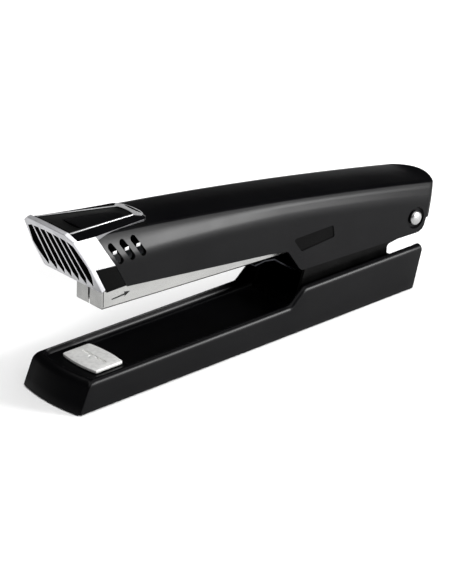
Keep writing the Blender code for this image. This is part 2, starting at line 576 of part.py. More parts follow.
def build_handle(body):
    to_pivot = Matrix.Translation((0, -PIVOT_Y * MM, -PIVOT_Z * MM))
    mesh = to_mesh("handle_shell", handle_skin())
    mesh.transform(to_pivot)
    shell = place("handle_shell", mesh, body, "satin_black")
    mirror = shell.modifiers.new("mirror", "MIRROR")
    mirror.merge_threshold = 0.01 * MM
    wall = shell.modifiers.new("wall", "SOLIDIFY")
    wall.thickness = SHELL_WALL * MM
    wall.offset = -1.0
    wall.use_even_offset = True

    seam = [(seam_y(z), z) for z in (90.0, 10.0)]
    ahead = extruded("cut_shell_front", shift_outline(seam + [(-140.0, 10.0), (-140.0, 90.0)]), -30.0, 30.0, "YZ", body)
    under_pad = extruded("cut_shell_top", pad_outline(FLOOR_LIP + GAP), -PAD_FLOOR - GAP, 8.0, "XY", body,
                         turn=rim_place())
    lower_edge = rounded([
        (-120.0, -5.0), (-120.0, 50.4), (-69.0, 44.2), (0.7, 35.7), (9.6, 34.1, 2.5), (16.2, 24.4, 3.0),
        (35.0, 23.8), (84.2, 22.1, 4.0), (85.6, 30.0), (120.0, 30.0), (120.0, -5.0)], 4)
    trim = extruded("cut_lower_edge", shift_outline(lower_edge), -30.0, 30.0, "YZ", body)
    pin_hole = cylinder("cut_shell_pin", (0, 0, 0), PIN_HOLE_R, 60.0, "X", body)
    recesses = [cylinder(f"cut_recess_{side}", (x, 0, 0), 4.3, 2.0, "X", body)
                for side, x in (("right", shell_half(PIVOT_Y) + 0.3), ("left", -shell_half(PIVOT_Y) - 0.3))]
    bosses, boss_holes, screws = [], [], []
    for i, y in enumerate((-23.2, 46.8), 1):
        roof = top_height(y) - PIVOT_Z - 0.6
        floor = frame_web(y - PIVOT_Y) + GAP
        bosses.append(cylinder(f"add_shell_boss_{i}", (0, y - PIVOT_Y, (roof + floor) / 2), 3.0, roof - floor, "Z",
                               body, segments=16))
        boss_holes.append(cylinder(f"cut_shell_boss_{i}", (0, y - PIVOT_Y, floor), 1.2, 5.0, "Z", body, segments=12))
        screws.append((i, y - PIVOT_Y, floor))
    combine(shell, [ahead, under_pad, trim, pin_hole] + recesses)
    combine(shell, bosses, "UNION")
    combine(shell, boss_holes + [window_cutter(i, y, sign, body) for i, y in enumerate(WINDOW_Y, 1)
                                 for sign in (1, -1)])

    # inner frame that carries the driver
    web = [(7.0, frame_web(7.0)), (-119.0, frame_web(-119.0)), (-131.0, 28.1), (-152.0, 28.1)]
    side = [(-152.0, 17.5), (-130.0, 15.0), (-12.0, 3.4)] + arc((0, 0), 5.6, 210, 350, 8) + [(7.0, 4.0)]
    frame = extruded("handle_frame", web + side, -9.0, 9.0, "YZ", body, "zinc")
    under = [(20.0, frame_web(7.0) - 1.0), (-118.5, frame_web(-119.0) - 1.0), (-130.5, 27.1), (-160.0, 27.1),
             (-160.0, -20.0), (20.0, -20.0)]
    combine(frame, [extruded("cut_frame", under, -8.0, 8.0, "YZ", body),
                    cylinder("cut_frame_pin", (0, 0, 0), PIN_HOLE_R, 30.0, "X", body)])
    for i, y, floor in screws:
        combine(frame, [cylinder(f"cut_frame_screw_{i}", (0, y, floor), 1.5, 8.0, "Z", body, segments=12)])
        low = floor - GAP - 1.0 - GAP
        profile = [(0.0, floor + 2.1), (0.9, floor + 2.1), (0.9, low), (2.2, low), (1.9, low - 1.0), (0.0, low - 1.0)]
        turned(f"frame_screw_{i}", profile, "Z", (0, y, 0), body, "zinc", 12)

    # bright bracket behind the side windows, with the driver blade hung under it
    bracket_low = 28.1 + GAP
    bracket = extruded("nose_bracket", rounded([(-12.3, -154.5, 2.0), (12.3, -154.5, 2.0), (11.3, -131.5, 2.0),
                                                (-11.3, -131.5, 2.0)], 3), bracket_low, bracket_low + 1.3, "XY",
                       body, "zinc")
    rivet_y = (-144.5, -137.5)
    blade = extruded("driver_blade", [(-148.8, 13.1), (-148.3, 13.1), (-147.1, 26.2), (-135.5, 26.2), (-135.5, 26.7),
                                      (-147.6, 26.7)], -6.3, 6.3, "YZ", body, "spring_steel")
    for i, y in enumerate(rivet_y, 1):
        for piece, label in ((bracket, "bracket"), (frame, "web"), (blade, "blade")):
            combine(piece, [cylinder(f"cut_{label}_rivet_{i}", (0, y, 28.0), 1.2 + GAP, 8.0, "Z", body, segments=12)])
        head, foot = bracket_low + 1.3 + GAP, 26.2 - GAP
        profile = [(0.0, head + 0.7), (1.4, head + 0.5), (2.2, head), (1.2, head), (1.2, foot), (2.2, foot),
                   (1.6, foot - 0.6), (0.0, foot - 0.6)]
        turned(f"blade_rivet_{i}", profile, "Z", (0, y, 0), body, "zinc", 12)

    # leaf spring that lifts the handle off the magazine
    leaf = [(-34.0, 12.4), (-62.0, 14.8), (-84.0, 15.2), (-98.0, 14.2)]
    extruded("return_spring", leaf + [(y, z + 0.5) for y, z in reversed(leaf)], -7.0, 7.0, "YZ", body,
             "spring_steel")


def frame_web(y):
    """Height of the top of the inner frame's web at y, in the handle's frame."""
    return 10.2 + (8.0 - y) * 0.1


def window_cutter(index, y, sign, body):
    """Slanted round-ended slot through the sloping band near the nose."""
    stadium = arc((0, 3.2), 1.3, 0, 180, 5) + arc((0, -3.2), 1.3, 180, 360, 5)
    lean = Matrix.Rotation(math.radians(29.0), 4, "X")
    move = Matrix.Translation(Vector(shift((sign * 14.5, y, WINDOW_Z))) * MM)
    side = "right" if sign > 0 else "left"
    return extruded(f"cut_window_{index}_{side}", stadium, -5.0, 5.0, "YZ", body, turn=move @ lean)


def build_nose(body):
    to_pivot = Matrix.Translation((0, -PIVOT_Y * MM, -PIVOT_Z * MM))

    def solid(name, rows):
        mesh = to_mesh(name, skin([both_sides(row) for row in rows], close=True))
        mesh.transform(to_pivot)
        return place(name, mesh, body)

    stations = (-97.0, -90.7, -80.0, -74.0, -68.0, -62.0, -58.0, -56.0, -54.6, -53.4, -52.3, -51.4)
    cap = solid("nose_cap", [[(x, y, z) for x, z in cap_section(y)] for y in stations])
    CUTTERS.objects.unlink(cap)
    PARTS.objects.link(cap)
    cap.hide_render = False
    cap.display_type = "TEXTURED"
    cap.data.materials.append(MATERIALS["gloss_black"])

    face = [(face_y(z) + GRILLE_THICK + GAP, z) for z in (90.0, 30.0)]
    front = extruded("cut_cap_front", shift_outline(face + [(-130.0, 30.0), (-130.0, 90.0)]), -30, 30, "YZ", body)
    below = world_box("cut_cap_below", (-30, -120, 0), (30, -30, CAP_LOW), body)
    behind_rows = [slanted_row(lambda y: shell_section(y, GAP), -GAP)]
    behind_rows += [[(x, y, z) for x, z in shell_section(y, GAP)] for y in (-55.0, -30.0)]
    behind = solid("cut_cap_behind", behind_rows)
    floor = extruded("keep_pad_floor", pad_outline(FLOOR_LIP), -PAD_FLOOR, 8.0, "XY", body, turn=rim_place())
    combine(behind, [floor])
    # the side of the shell is slimmer than the cap's: clear all that lies outside it behind the seam
    outside = extruded("cut_cap_sides", shift_outline([(seam_y(90.0) - GAP, 90.0), (-20.0, 90.0), (-20.0, 10.0),
                                                       (seam_y(10.0) - GAP, 10.0)]), -30, 30, "YZ", body)
    tongue_keep = solid("keep_tongue", [[(x, y, z) for x, z in tongue_section(y)] for y in stations[1:]])
    combine(outside, [tongue_keep])
    hollow_rows = [[(x, y, z) for x, z in cap_section(y, 1.5, 4.4)] for y in (-105.0, -90.7)]
    hollow_rows.append(slanted_row(lambda y: cap_section(y, 1.5, 4.4), 1.0))
    hollow = solid("cut_cap_hollow", hollow_rows)

    slope = rim_place()
    pocket = extruded("cut_pad_pocket", pad_outline(GAP), -2.6, 8.0, "XY", body, turn=slope)
    trim_seat = extruded("cut_trim_seat", trim_outline(GAP), -0.9, 8.0, "XY", body, turn=slope)
    combine(cap, [front, below, behind, outside, hollow, pocket, trim_seat])

    # pad and its bright surround, laid in the slope of the rim
    front_face = extruded("cut_pad_front", shift_outline(face + [(-130.0, 30.0), (-130.0, 90.0)]), -30, 30, "YZ", body)
    pad = extruded("thumb_pad", pad_outline(-0.1), -2.3, -0.5, "XY", body, "grip", turn=slope)
    dish = cylinder("cut_dish", (0, 0, 0), 38.0, 90.0, "Y", body, segments=96)
    dish.data.transform(slope @ Matrix.Translation((0, 20 * MM, 36.6 * MM)))
    combine(pad, [front_face, dish])
    trim = extruded("pad_bezel", trim_outline(0.0), -0.6, 0.5, "XY", body, "chrome", turn=slope)
    hole = extruded("cut_bezel_hole", pad_outline(GAP), -5.0, 5.0, "XY", body, turn=slope)
    combine(trim, [hole, front_face])

    # grille across the slanted face
    lean = math.atan2(FACE_LOW[0] - FACE_TOP[0], FACE_TOP[1] - FACE_LOW[1])
    face_place = to_pivot @ Matrix.Translation((0, FACE_TOP[0] * MM, FACE_TOP[1] * MM)) @ Matrix.Rotation(
        lean, 4, "X")
    grille = extruded("nose_grille", grille_outline(), -GRILLE_THICK, 0.0, "XZ", body, "satin_silver", turn=face_place)
    slots = []
    for k in range(SLOT_COUNT):
        middle = k - (SLOT_COUNT - 1) / 2
        top, low = middle * 3.55, middle * 4.2
        slot = [(top - 1.2, -3.4), (top + 1.3, -2.7), (low + 1.45, -21.0), (low + 0.1, -24.6), (low - 1.35, -22.8)]
        slots.append(extruded(f"cut_slot_{k + 1}", slot, -6.0, 6.0, "XZ", body, turn=face_place))
    combine(grille, slots)


def rim_place():
    """Places a plan on the sloping rim, its y measured back from the rim's front edge."""
    tilt = math.atan2(PAD_TOP_REAR[1] - PAD_TOP_FRONT[1], PAD_TOP_REAR[0] - PAD_TOP_FRONT[0])
    front = (0.0, PAD_TOP_FRONT[0] - PIVOT_Y, PAD_TOP_FRONT[1] - PIVOT_Z)
    return Matrix.Translation(Vector(front) * MM) @ Matrix.Rotation(tilt, 4, "X")


def tongue_section(y):
    """Half section of the tongue that lies over the shell, down to the band."""
    rim, edge = cap_section(y)[1], cap_section(y)[2]
    return [(0.0, rim[1] + 6), (edge[0] + 0.01, rim[1] + 6), (edge[0] + 0.01, edge[1] - 6.0)]


def pad_outline(grow):
    """Plan of the pad, measured along the rim from its front edge; wide at the front, round behind."""
    rear, reach = 4.2 + grow, 31.5 + grow
    return [(-9.4 - grow, -3.0), (9.4 + grow, -3.0), (5.6 + grow, reach - 5.0)] + arc(
        (0, reach - 5.0), rear + 1.1, 20, 160, 8) + [(-5.6 - grow, reach - 5.0)]


def trim_outline(grow):
    """Plan of the bright surround: a slim frame that widens to a crescent behind the pad."""
    tail = [((6.4 + grow) * math.cos(a), 33.6 + (6.6 + grow) * math.sin(a))
            for a in np.linspace(0.12, math.pi - 0.12, 11)]
    return [(-10.4 - grow, -3.0), (10.4 + grow, -3.0)] + tail


def grille_outline():
    """Face outline in the slanted plane: x across, second value down from the top edge."""
    def along(z):
        return (z - FACE_TOP[1]) * math.hypot(FACE_LOW[0] - FACE_TOP[0], FACE_TOP[1] - FACE_LOW[1]) / (
            FACE_TOP[1] - FACE_LOW[1])
    half = [(10.5, along(68.3)), (14.0, along(66.4)), (16.7, along(55.2)), (16.7, along(CAP_LOW + 0.5))]
    return half + [(-x, z) for x, z in reversed(half)]


# ---------------------------------------------------------------- hinge pin
def build_pin(body):
    """Hinge rivet through bracket, frame and magazine, with nylon bushes between."""
    seat = shell_half(PIVOT_Y) - 0.7 + GAP
    dome = [(3.2 * math.cos(a), seat + 0.5 + 1.5 * math.sin(a)) for a in np.linspace(math.pi / 2, 0, 7)]
    dome[0] = (0.0, seat + 2.0)
    shaft_end = -seat - 0.5
    profile = dome + [(3.2, seat), (PIN_R, seat), (PIN_R, shaft_end), (0.0, shaft_end)]
    turned("pivot_pin", profile, "X", (0, PIVOT_Y, PIVOT_Z), body, "nickel")
    back = [(0.0, seat + 2.2), (1.6, seat + 2.0), (2.8, seat + 1.3), (3.4, seat + 0.5), (3.4, seat),
            (PIN_HOLE_R, seat), (PIN_HOLE_R, seat + 0.9), (0.0, seat + 0.9)]
    cap = turned("pivot_cap", back, "X", (0, 0, 0), body, "nickel")
    cap.matrix_local = Matrix.Translation(Vector((0, PIVOT_Y, PIVOT_Z)) * MM) @ Matrix.Rotation(
        -math.pi / 2, 4, "Y")
    bush_low, bush_high = 9.0 + GAP, EAR_IN - GAP
    for side, sign in (("right", 1), ("left", -1)):
        ends = sorted((sign * bush_low, sign * bush_high))
        turned(f"pivot_bush_{side}", [(PIN_HOLE_R, ends[1]), (4.2, ends[1]), (4.2, ends[0]), (PIN_HOLE_R, ends[0]),
                                      (PIN_HOLE_R, ends[1])], "X", (0, PIVOT_Y, PIVOT_Z), body, "nylon")


def body_frame(name, location, parent=None, turn=0.0):
    frame = bpy.data.objects.new(name, None)
    bpy.context.scene.collection.objects.link(frame)
    frame.location = Vector(location) * MM
    frame.rotation_euler = (turn, 0.0, 0.0)
    frame.parent = parent
    return frame


clear_scene()
PARTS = new_collection("stapler")
CUTTERS = new_collection("cutters")
MATERIALS = {name: new_material(name, *values) for name, values in FINISHES.items()}

base_axis = body_frame("base_axis", (0, 0, 0))
anvil_axis = body_frame("anvil_axis", (0, ANVIL_Y, 0), base_axis)
magazine_axis = body_frame("magazine_axis", (0, PIVOT_Y, PIVOT_Z), base_axis, MAGAZINE_TILT)
pusher_axis = body_frame("pusher_axis", (0, 0, 0), magazine_axis)
handle_axis = body_frame("handle_axis", (0, PIVOT_Y, PIVOT_Z), base_axis)

build_base(base_axis)
build_anvil(anvil_axis)
build_magazine(magazine_axis)
build_pusher(pusher_axis)
build_handle(handle_axis)
build_nose(handle_axis)
build_pin(base_axis)
bpy.context.view_layer.update()
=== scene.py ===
import json
import math

import bpy
import numpy as np
from mathutils import Matrix, Vector


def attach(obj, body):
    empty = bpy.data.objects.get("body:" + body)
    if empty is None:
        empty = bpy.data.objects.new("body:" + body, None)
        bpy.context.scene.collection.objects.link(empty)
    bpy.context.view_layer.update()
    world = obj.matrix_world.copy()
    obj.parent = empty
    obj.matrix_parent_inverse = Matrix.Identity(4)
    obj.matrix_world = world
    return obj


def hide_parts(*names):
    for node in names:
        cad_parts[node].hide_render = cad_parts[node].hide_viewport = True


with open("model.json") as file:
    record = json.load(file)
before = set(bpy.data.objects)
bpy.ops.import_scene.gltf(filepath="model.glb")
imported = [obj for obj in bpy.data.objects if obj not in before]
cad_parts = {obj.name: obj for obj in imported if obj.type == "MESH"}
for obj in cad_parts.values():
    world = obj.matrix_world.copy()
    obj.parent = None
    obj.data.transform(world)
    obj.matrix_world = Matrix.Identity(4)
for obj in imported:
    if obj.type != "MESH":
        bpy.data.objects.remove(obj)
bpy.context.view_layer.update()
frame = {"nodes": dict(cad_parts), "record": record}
mm = 0.001
record = frame["record"]
hinge = [j for j in record["behaviour"]["joints"] if j["name"] == "magazine_hinge"][0]["pos_m"]
pivotY, pivotZ = hinge[1] / mm, hinge[2] / mm
magazineTilt = math.radians(-2.55)  # how far the magazine's nose stands up at rest
print("frame loaded:", len(frame["nodes"]), "nodes")


def deselectAll():
    if bpy.context.object and bpy.context.object.mode != "OBJECT":
        bpy.ops.object.mode_set(mode="OBJECT")
    bpy.ops.object.select_all(action="DESELECT")


def pick(obj):
    deselectAll()
    obj.select_set(True)
    bpy.context.view_layer.objects.active = obj


def named(obj, name):
    obj.name = name
    obj.data.name = name
    return obj


def cleanUp(obj, distance=0.002):
    # doubles merged and faces turned outwards, before any wall gets its thickness
    pick(obj)
    bpy.ops.object.mode_set(mode="EDIT")
    bpy.ops.mesh.select_all(action="SELECT")
    bpy.ops.mesh.remove_doubles(threshold=distance * mm)
    bpy.ops.mesh.dissolve_degenerate(threshold=distance * mm)
    bpy.ops.mesh.normals_make_consistent(inside=False)
    bpy.ops.object.mode_set(mode="OBJECT")
    return obj


def gridPiece(name, columns, rows, place):
    # a flat grid whose vertices are then carried to their places; place(u, v) takes column and row numbers
    deselectAll()
    bpy.ops.mesh.primitive_grid_add(x_subdivisions=columns, y_subdivisions=rows, size=2)
    obj = named(bpy.context.object, name)
    spots = [place(i, j) for j in range(rows + 1) for i in range(columns + 1)]
    obj.data.vertices.foreach_set("co", (np.array(spots, float) * mm).ravel())
    obj.data.update()
    return cleanUp(obj)


def outlinePiece(name, outline, low, high, plane="YZ"):
    # a filled ring drawn to the outline, then extruded through its thickness
    deselectAll()
    bpy.ops.mesh.primitive_circle_add(vertices=len(outline), radius=1, fill_type="NGON")
    obj = named(bpy.context.object, name)
    across = {"YZ": (1, 0, 0), "XZ": (0, 1, 0), "XY": (0, 0, 1)}[plane]
    for vertex, (a, b) in zip(obj.data.vertices, outline):
        flat = {"YZ": (low, a, b), "XZ": (a, low, b), "XY": (a, b, low)}[plane]
        vertex.co = Vector(flat) * mm
    bpy.ops.object.mode_set(mode="EDIT")
    bpy.ops.mesh.select_all(action="SELECT")
    bpy.ops.mesh.extrude_region_move(TRANSFORM_OT_translate={"value": Vector(across) * (high - low) * mm})
    bpy.ops.object.mode_set(mode="OBJECT")
    return cleanUp(obj)


def turnedPiece(name, profile, centre, axis="X", steps=48):
    # profile is (radius, along); it goes once round the axis
    def spot(i, j):
        angle = 2 * math.pi * i / steps
        radius, along = profile[j]
        a, b = radius * math.cos(angle), radius * math.sin(angle)
        local = {"X": (along, a, b), "Y": (a, along, b), "Z": (a, b, along)}[axis]
        return [c + d for c, d in zip(centre, local)]
    return gridPiece(name, steps, len(profile) - 1, spot)


def apply(obj, kind, **settings):
    pick(obj)
    modifier = obj.modifiers.new(kind.lower(), kind)
    for key, value in settings.items():
        setattr(modifier, key, value)
    bpy.ops.object.modifier_apply(modifier=modifier.name)
    return obj


def cut(obj, tool, operation="DIFFERENCE"):
    apply(obj, "BOOLEAN", object=tool, operation=operation, solver="EXACT")
    bpy.data.objects.remove(tool, do_unlink=True)
    return obj


def softenEdges(obj, width, angle=35, segments=3):
    return apply(obj, "BEVEL", width=width * mm, segments=segments, limit_method="ANGLE",
                 angle_limit=math.radians(angle), use_clamp_overlap=True, harden_normals=False)


def smooth(obj, angle=35):
    pick(obj)
    bpy.ops.object.shade_smooth_by_angle(angle=math.radians(angle))
    return obj


def turn(obj, matrix):
    obj.data.transform(matrix)
    obj.data.update()
    return obj


def finishPiece(obj, body, slot, material, *nodes):
    if not obj.data.materials:
        obj.data.materials.append(material)
    obj.data.validate()
    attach(obj, body)
    if nodes:
        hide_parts(*nodes)
    return obj


def paintFaces(obj, material, belongs):
    # a second finish on the faces that belongs() picks by centre (in mm) and normal
    obj.data.materials.append(material)
    index = len(obj.data.materials) - 1
    for face in obj.data.polygons:
        if belongs(face.center / mm, face.normal):
            face.material_index = index
    return obj


def mix(a, b, t):
    return a + (b - a) * t


def roundCorners(points, steps=5):
    # each point is (a, b) or (a, b, radius)
    outline = []
    for i, point in enumerate(points):
        corner, radius = Vector(point[:2]), point[2] if len(point) > 2 else 0
        if not radius:
            outline.append(tuple(corner))
            continue
        before = (Vector(points[i - 1][:2]) - corner).normalized()
        after = (Vector(points[(i + 1) % len(points)][:2]) - corner).normalized()
        half = before.angle(after) / 2
        centre = corner + (before + after).normalized() * (radius / math.sin(half))
        start = corner + before * (radius / math.tan(half)) - centre
        sweep = (corner + after * (radius / math.tan(half)) - centre).angle_signed(start)
        outline += [tuple(centre + Matrix.Rotation(sweep * k / steps, 2) @ start) for k in range(steps + 1)]
    return outline


magazinePlace = Matrix.Translation((0, pivotY * mm, pivotZ * mm)) @ Matrix.Rotation(magazineTilt, 4, "X")


def linear(hexColour):
    values = [int(hexColour[i:i + 2], 16) / 255 for i in (1, 3, 5)]
    return [v / 12.92 if v <= 0.04045 else ((v + 0.055) / 1.055) ** 2.4 for v in values] + [1.0]


def addNode(tree, kind, settings=None, links=None):
    node = tree.nodes.new(kind)
    for key, value in (settings or {}).items():
        if isinstance(key, int) or key in node.inputs:
            node.inputs[key].default_value = value
        else:
            setattr(node, key, value)
    for key, source in (links or {}).items():
        tree.links.new(source, node.inputs[key])
    return node


def startMaterial(name, colour, roughness, metallic=0.0, **sockets):
    material = bpy.data.materials.new(name)
    material.use_nodes = True
    tree = material.node_tree
    shader = tree.nodes["Principled BSDF"]
    shader.inputs["Base Color"].default_value = linear(colour)
    shader.inputs["Roughness"].default_value = roughness
    shader.inputs["Metallic"].default_value = metallic
    for key, value in sockets.items():
        shader.inputs[key.replace("_", " ")].default_value = value
    return material, tree, shader


def addGrain(tree, shader, sizeMm, depthMm, stretch=(1, 1, 1), detail=2.0):
    # bump from a noise whose features are sizeMm across
    place = addNode(tree, "ShaderNodeTexCoord")
    mapping = addNode(tree, "ShaderNodeMapping", {"Scale": stretch}, {"Vector": place.outputs["Object"]})
    texture = {"Scale": 1 / (sizeMm * mm), "Detail": detail, "Roughness": 0.6}
    noise = addNode(tree, "ShaderNodeTexNoise", texture, {"Vector": mapping.outputs["Vector"]})
    bump = addNode(tree, "ShaderNodeBump", {"Strength": 1.0, "Distance": depthMm * mm},
                   {"Height": noise.outputs["Fac"]})
    tree.links.new(bump.outputs["Normal"], shader.inputs["Normal"])
    return mapping, noise


def addSheenSpread(tree, shader, sizeMm, low, high):
    # roughness wanders a little, as handled plastic and rolled metal do
    place = addNode(tree, "ShaderNodeTexCoord")
    noise = addNode(tree, "ShaderNodeTexNoise", {"Scale": 1 / (sizeMm * mm), "Detail": 3.0},
                    {"Vector": place.outputs["Object"]})
    spread = addNode(tree, "ShaderNodeMapRange", {"To Min": low, "To Max": high},
                     {"Value": noise.outputs["Fac"]})
    tree.links.new(spread.outputs["Result"], shader.inputs["Roughness"])


def addColourSpread(tree, shader, sizeMm, dark, light, stretch=(1, 1, 1)):
    # two close colours in soft patches, so that no face is one flat tone
    place = addNode(tree, "ShaderNodeTexCoord")
    mapping = addNode(tree, "ShaderNodeMapping", {"Scale": stretch}, {"Vector": place.outputs["Object"]})
    noise = addNode(tree, "ShaderNodeTexNoise", {"Scale": 1 / (sizeMm * mm), "Detail": 4.0},
                    {"Vector": mapping.outputs["Vector"]})
    ramp = addNode(tree, "ShaderNodeValToRGB", None, {"Fac": noise.outputs["Fac"]})
    ramp.color_ramp.elements[0].position, ramp.color_ramp.elements[1].position = 0.35, 0.65
    ramp.color_ramp.elements[0].color, ramp.color_ramp.elements[1].color = linear(dark), linear(light)
    tree.links.new(ramp.outputs["Color"], shader.inputs["Base Color"])


def makeMouldedAbs():
    # satin injection-moulded ABS: a fine spark-eroded grain that spreads each highlight softly
    material, tree, shader = startMaterial("satinMouldedAbs", "#030304", 0.29, IOR=1.53,
                                             Specular_IOR_Level=0.07)
    addColourSpread(tree, shader, 22, "#020203", "#050506")
    addGrain(tree, shader, 0.35, 0.006)
    addSheenSpread(tree, shader, 14, 0.28, 0.35)
    return material


def makePolishedAbs():
    # ABS from a polished tool: almost a mirror, with the faintest orange peel
    material, tree, shader = startMaterial("polishedMouldedAbs", "#050506", 0.08, IOR=1.53,
                                             Specular_IOR_Level=0.1)
    addColourSpread(tree, shader, 30, "#040405", "#070708")
    addGrain(tree, shader, 2.5, 0.0015)
    addSheenSpread(tree, shader, 18, 0.05, 0.1)
    return material


def makeSoftPad():
    # soft-touch moulded pad: darker and duller than the case around it
    material, tree, shader = startMaterial("softTouchMouldedPad", "#080808", 0.42, IOR=1.5,
                                             Specular_IOR_Level=0.14)
    addColourSpread(tree, shader, 12, "#060606", "#0a0a0a")
    addGrain(tree, shader, 0.3, 0.005)
    addSheenSpread(tree, shader, 10, 0.38, 0.47)
    return material


def makePaintedShadeBlack():
    # coarse-textured near-black moulding, painted on as shade: it takes no highlight, so the slots stay black
    material, tree, shader = startMaterial("paintedShadeMoulding", "#020202", 0.8, IOR=1.5,
                                             Specular_IOR_Level=0.05)
    addColourSpread(tree, shader, 10, "#010101", "#030303")
    addGrain(tree, shader, 0.5, 0.01)
    return material


def makeChrome():
    # vacuum-plated plastic under clear lacquer: bright, and white wherever the light is broad; also laid on
    # the nose cap's side facet and the pad bezel as a painted reflection
    material, tree, shader = startMaterial("vacuumPlateAndPaintedReflection", "#adadae", 0.26, 0.4)
    addColourSpread(tree, shader, 3, "#a6a6a7", "#b6b6b7")
    addGrain(tree, shader, 0.4, 0.001)
    addSheenSpread(tree, shader, 6, 0.22, 0.32)
    return material


def makeSatinPlate():
    # satin-plated plastic: a silver grey with a very fine blasted grain
    material, tree, shader = startMaterial("satinSilverPlate", "#b4b4b7", 0.34, 0.6)
    addColourSpread(tree, shader, 7, "#aaaaad", "#bebec1")
    addGrain(tree, shader, 0.25, 0.003)
    addSheenSpread(tree, shader, 8, 0.3, 0.4)
    return material


def makeNickelPlate(name="rolledNickelPlate", dark="#8c8c8b", light="#9c9c9a", low=0.2, high=0.3):
    # cold-rolled strip, nickel plated: bright, with long faint rolling lines
    material, tree, shader = startMaterial(name, light, low, 1.0)
    addColourSpread(tree, shader, 10, dark, light, (1, 0.2, 1))
    addGrain(tree, shader, 0.5, 0.0008, (1, 0.02, 1))
    addSheenSpread(tree, shader, 5, low, high)
    return material


def makeMattPlate():
    # coined plate, blasted to an even matt white-silver so that the paper slides on it
    material, tree, shader = startMaterial("blastedTinPlate", "#f0f0ee", 0.42, 0.3)
    addColourSpread(tree, shader, 1.5, "#e6e6e4", "#f6f6f4")
    addGrain(tree, shader, 0.3, 0.002)
    addSheenSpread(tree, shader, 3, 0.38, 0.48)
    return material


def makeZincPlate():
    # zinc plate: greyer than nickel, with soft patches
    material, tree, shader = startMaterial("pressedZincPlate", "#a9abae", 0.36, 1.0)
    addColourSpread(tree, shader, 4, "#9b9da1", "#b6b8ba")
    addGrain(tree, shader, 0.8, 0.002)
    addSheenSpread(tree, shader, 6, 0.3, 0.44)
    return material


def makeShadeDarkSpringSteel():
    # spring steel coloured near black as painted shade, so that its edges in the throat stay dark; a little
    # blue where it catches light
    material, tree, shader = startMaterial("shadeDarkenedSpringSteel", "#2a2b2e", 0.28, 1.0)
    addColourSpread(tree, shader, 3, "#242528", "#303134")
    addSheenSpread(tree, shader, 4, 0.24, 0.36)
    return material


def makeBlackSteel():
    # pressed steel under stoved black paint
    material, tree, shader = startMaterial("stovedBlackSteel", "#030303", 0.42, IOR=1.5,
                                             Specular_IOR_Level=0.04)
    addColourSpread(tree, shader, 8, "#020202", "#050505")
    addGrain(tree, shader, 0.9, 0.003)
    addSheenSpread(tree, shader, 6, 0.26, 0.36)
    return material


def makeNylon():
    # natural moulded nylon, a little waxy
    material, tree, shader = startMaterial("naturalMouldedNylon", "#d8d5c8", 0.45, IOR=1.53)
    addColourSpread(tree, shader, 5, "#d0cdbf", "#dedbd0")
    addGrain(tree, shader, 0.5, 0.004)
    return material


def makeRubber():
    # moulded rubber with a matt, slightly dusty face
    material, tree, shader = startMaterial("mouldedRubber", "#1b1b1b", 0.75, IOR=1.52)
    addColourSpread(tree, shader, 5, "#171717", "#232322")
    addGrain(tree, shader, 0.6, 0.02)
    return material


mouldedAbs = makeMouldedAbs()
polishedAbs = makePolishedAbs()
softPad = makeSoftPad()
paintedShadeBlack = makePaintedShadeBlack()
chrome = makeChrome()
satinPlate = makeSatinPlate()
nickel = makeNickelPlate()
anvilNickel = makeMattPlate()
pinSteel = makeNickelPlate("turnedSteel", "#8e8e8e", "#9c9c9c", 0.3, 0.4)
# dark plate painted into the magazine's pressed lines as shade
paintedGrooveShade = makeNickelPlate("paintedGrooveShade", "#1c1c1c", "#2c2c2c", 0.5, 0.6)
zinc = makeZincPlate()
shadeDarkSpringSteel = makeShadeDarkSpringSteel()
# dull grey painted reflection for the nose cap's edge beside the crescent
paintedReflectionEdge = makeNickelPlate("paintedReflectionGrey", "#5c5c5e", "#6a6a6c", 0.35, 0.45)
blackSteel = makeBlackSteel()
nylon = makeNylon()
rubber = makeRubber()
print("materials made")


baseShape = {"half": 16.7, "front": -93.9, "rear": 74.0, "frontLean": 0.46, "rearLean": 0.306, "bow": 1.9,
             "lip": 0.4, "rimLow": 12.3, "rimHigh": 18.0, "rampStart": 8.6, "rampEnd": 17.6, "rimRound": 2.6,
             "wallTop": 14.9, "wallFoot": 14.8, "trayFront": -85.4, "trayRear": 77.0, "floor": 8.8,
             "anvilStep": 10.1, "stepAt": -64.6, "gateHalf": 14.6, "gateFloor": 8.92, "gateFront": 73.0,
             "trayRound": 2.6, "hollowTop": 6.8, "hollowHalf": 14.7}


def rimHeight(y):
    b = baseShape
    t = min(1.0, max(0.0, (y - b["rampStart"]) / (b["rampEnd"] - b["rampStart"])))
    # straight ramp with a round foot and a round shoulder
    bend = 0.22
    if t < bend:
        t = t * t / (2 * bend * (1 - bend))
    elif t > 1 - bend:
        t = 1 - (1 - t) ** 2 / (2 * bend * (1 - bend))
    else:
        t = (t - bend / 2) / (1 - bend)
    return mix(b["rimLow"], b["rimHigh"], t)


def planRing(half, front, rear, corner, bow, sideYs, cornerSteps=6, edgeSteps=8):
    # one closed ring in plan, from the right side's front end, rearwards round the object
    bowed = lambda x: bow * (x / baseShape["half"]) ** 2
    quarter = [math.pi / 2 * k / cornerSteps for k in range(cornerSteps + 1)]
    ring = [(half, min(max(y, front + corner + bow), rear - corner)) for y in sideYs]
    ring += [(half - corner + corner * math.cos(a), rear - corner + corner * math.sin(a)) for a in quarter]
    ring += [(mix(half - corner, corner - half, k / edgeSteps), rear) for k in range(1, edgeSteps)]
    ring += [(corner - half - corner * math.sin(a), rear - corner + corner * math.cos(a)) for a in quarter]
    ring += [(-half, min(max(y, front + corner + bow), rear - corner)) for y in reversed(sideYs)]
    far = bowed(half - corner)
    ring += [(corner - half - corner * math.cos(a), front + far + corner - corner * math.sin(a))
             for a in quarter]
    ring += [(x, front + bowed(x)) for x in np.linspace(corner - half, half - corner, edgeSteps + 1)[1:-1]]
    ring += [(half - corner + corner * math.sin(a), front + far + corner - corner * math.cos(a))
             for a in quarter]
    return ring


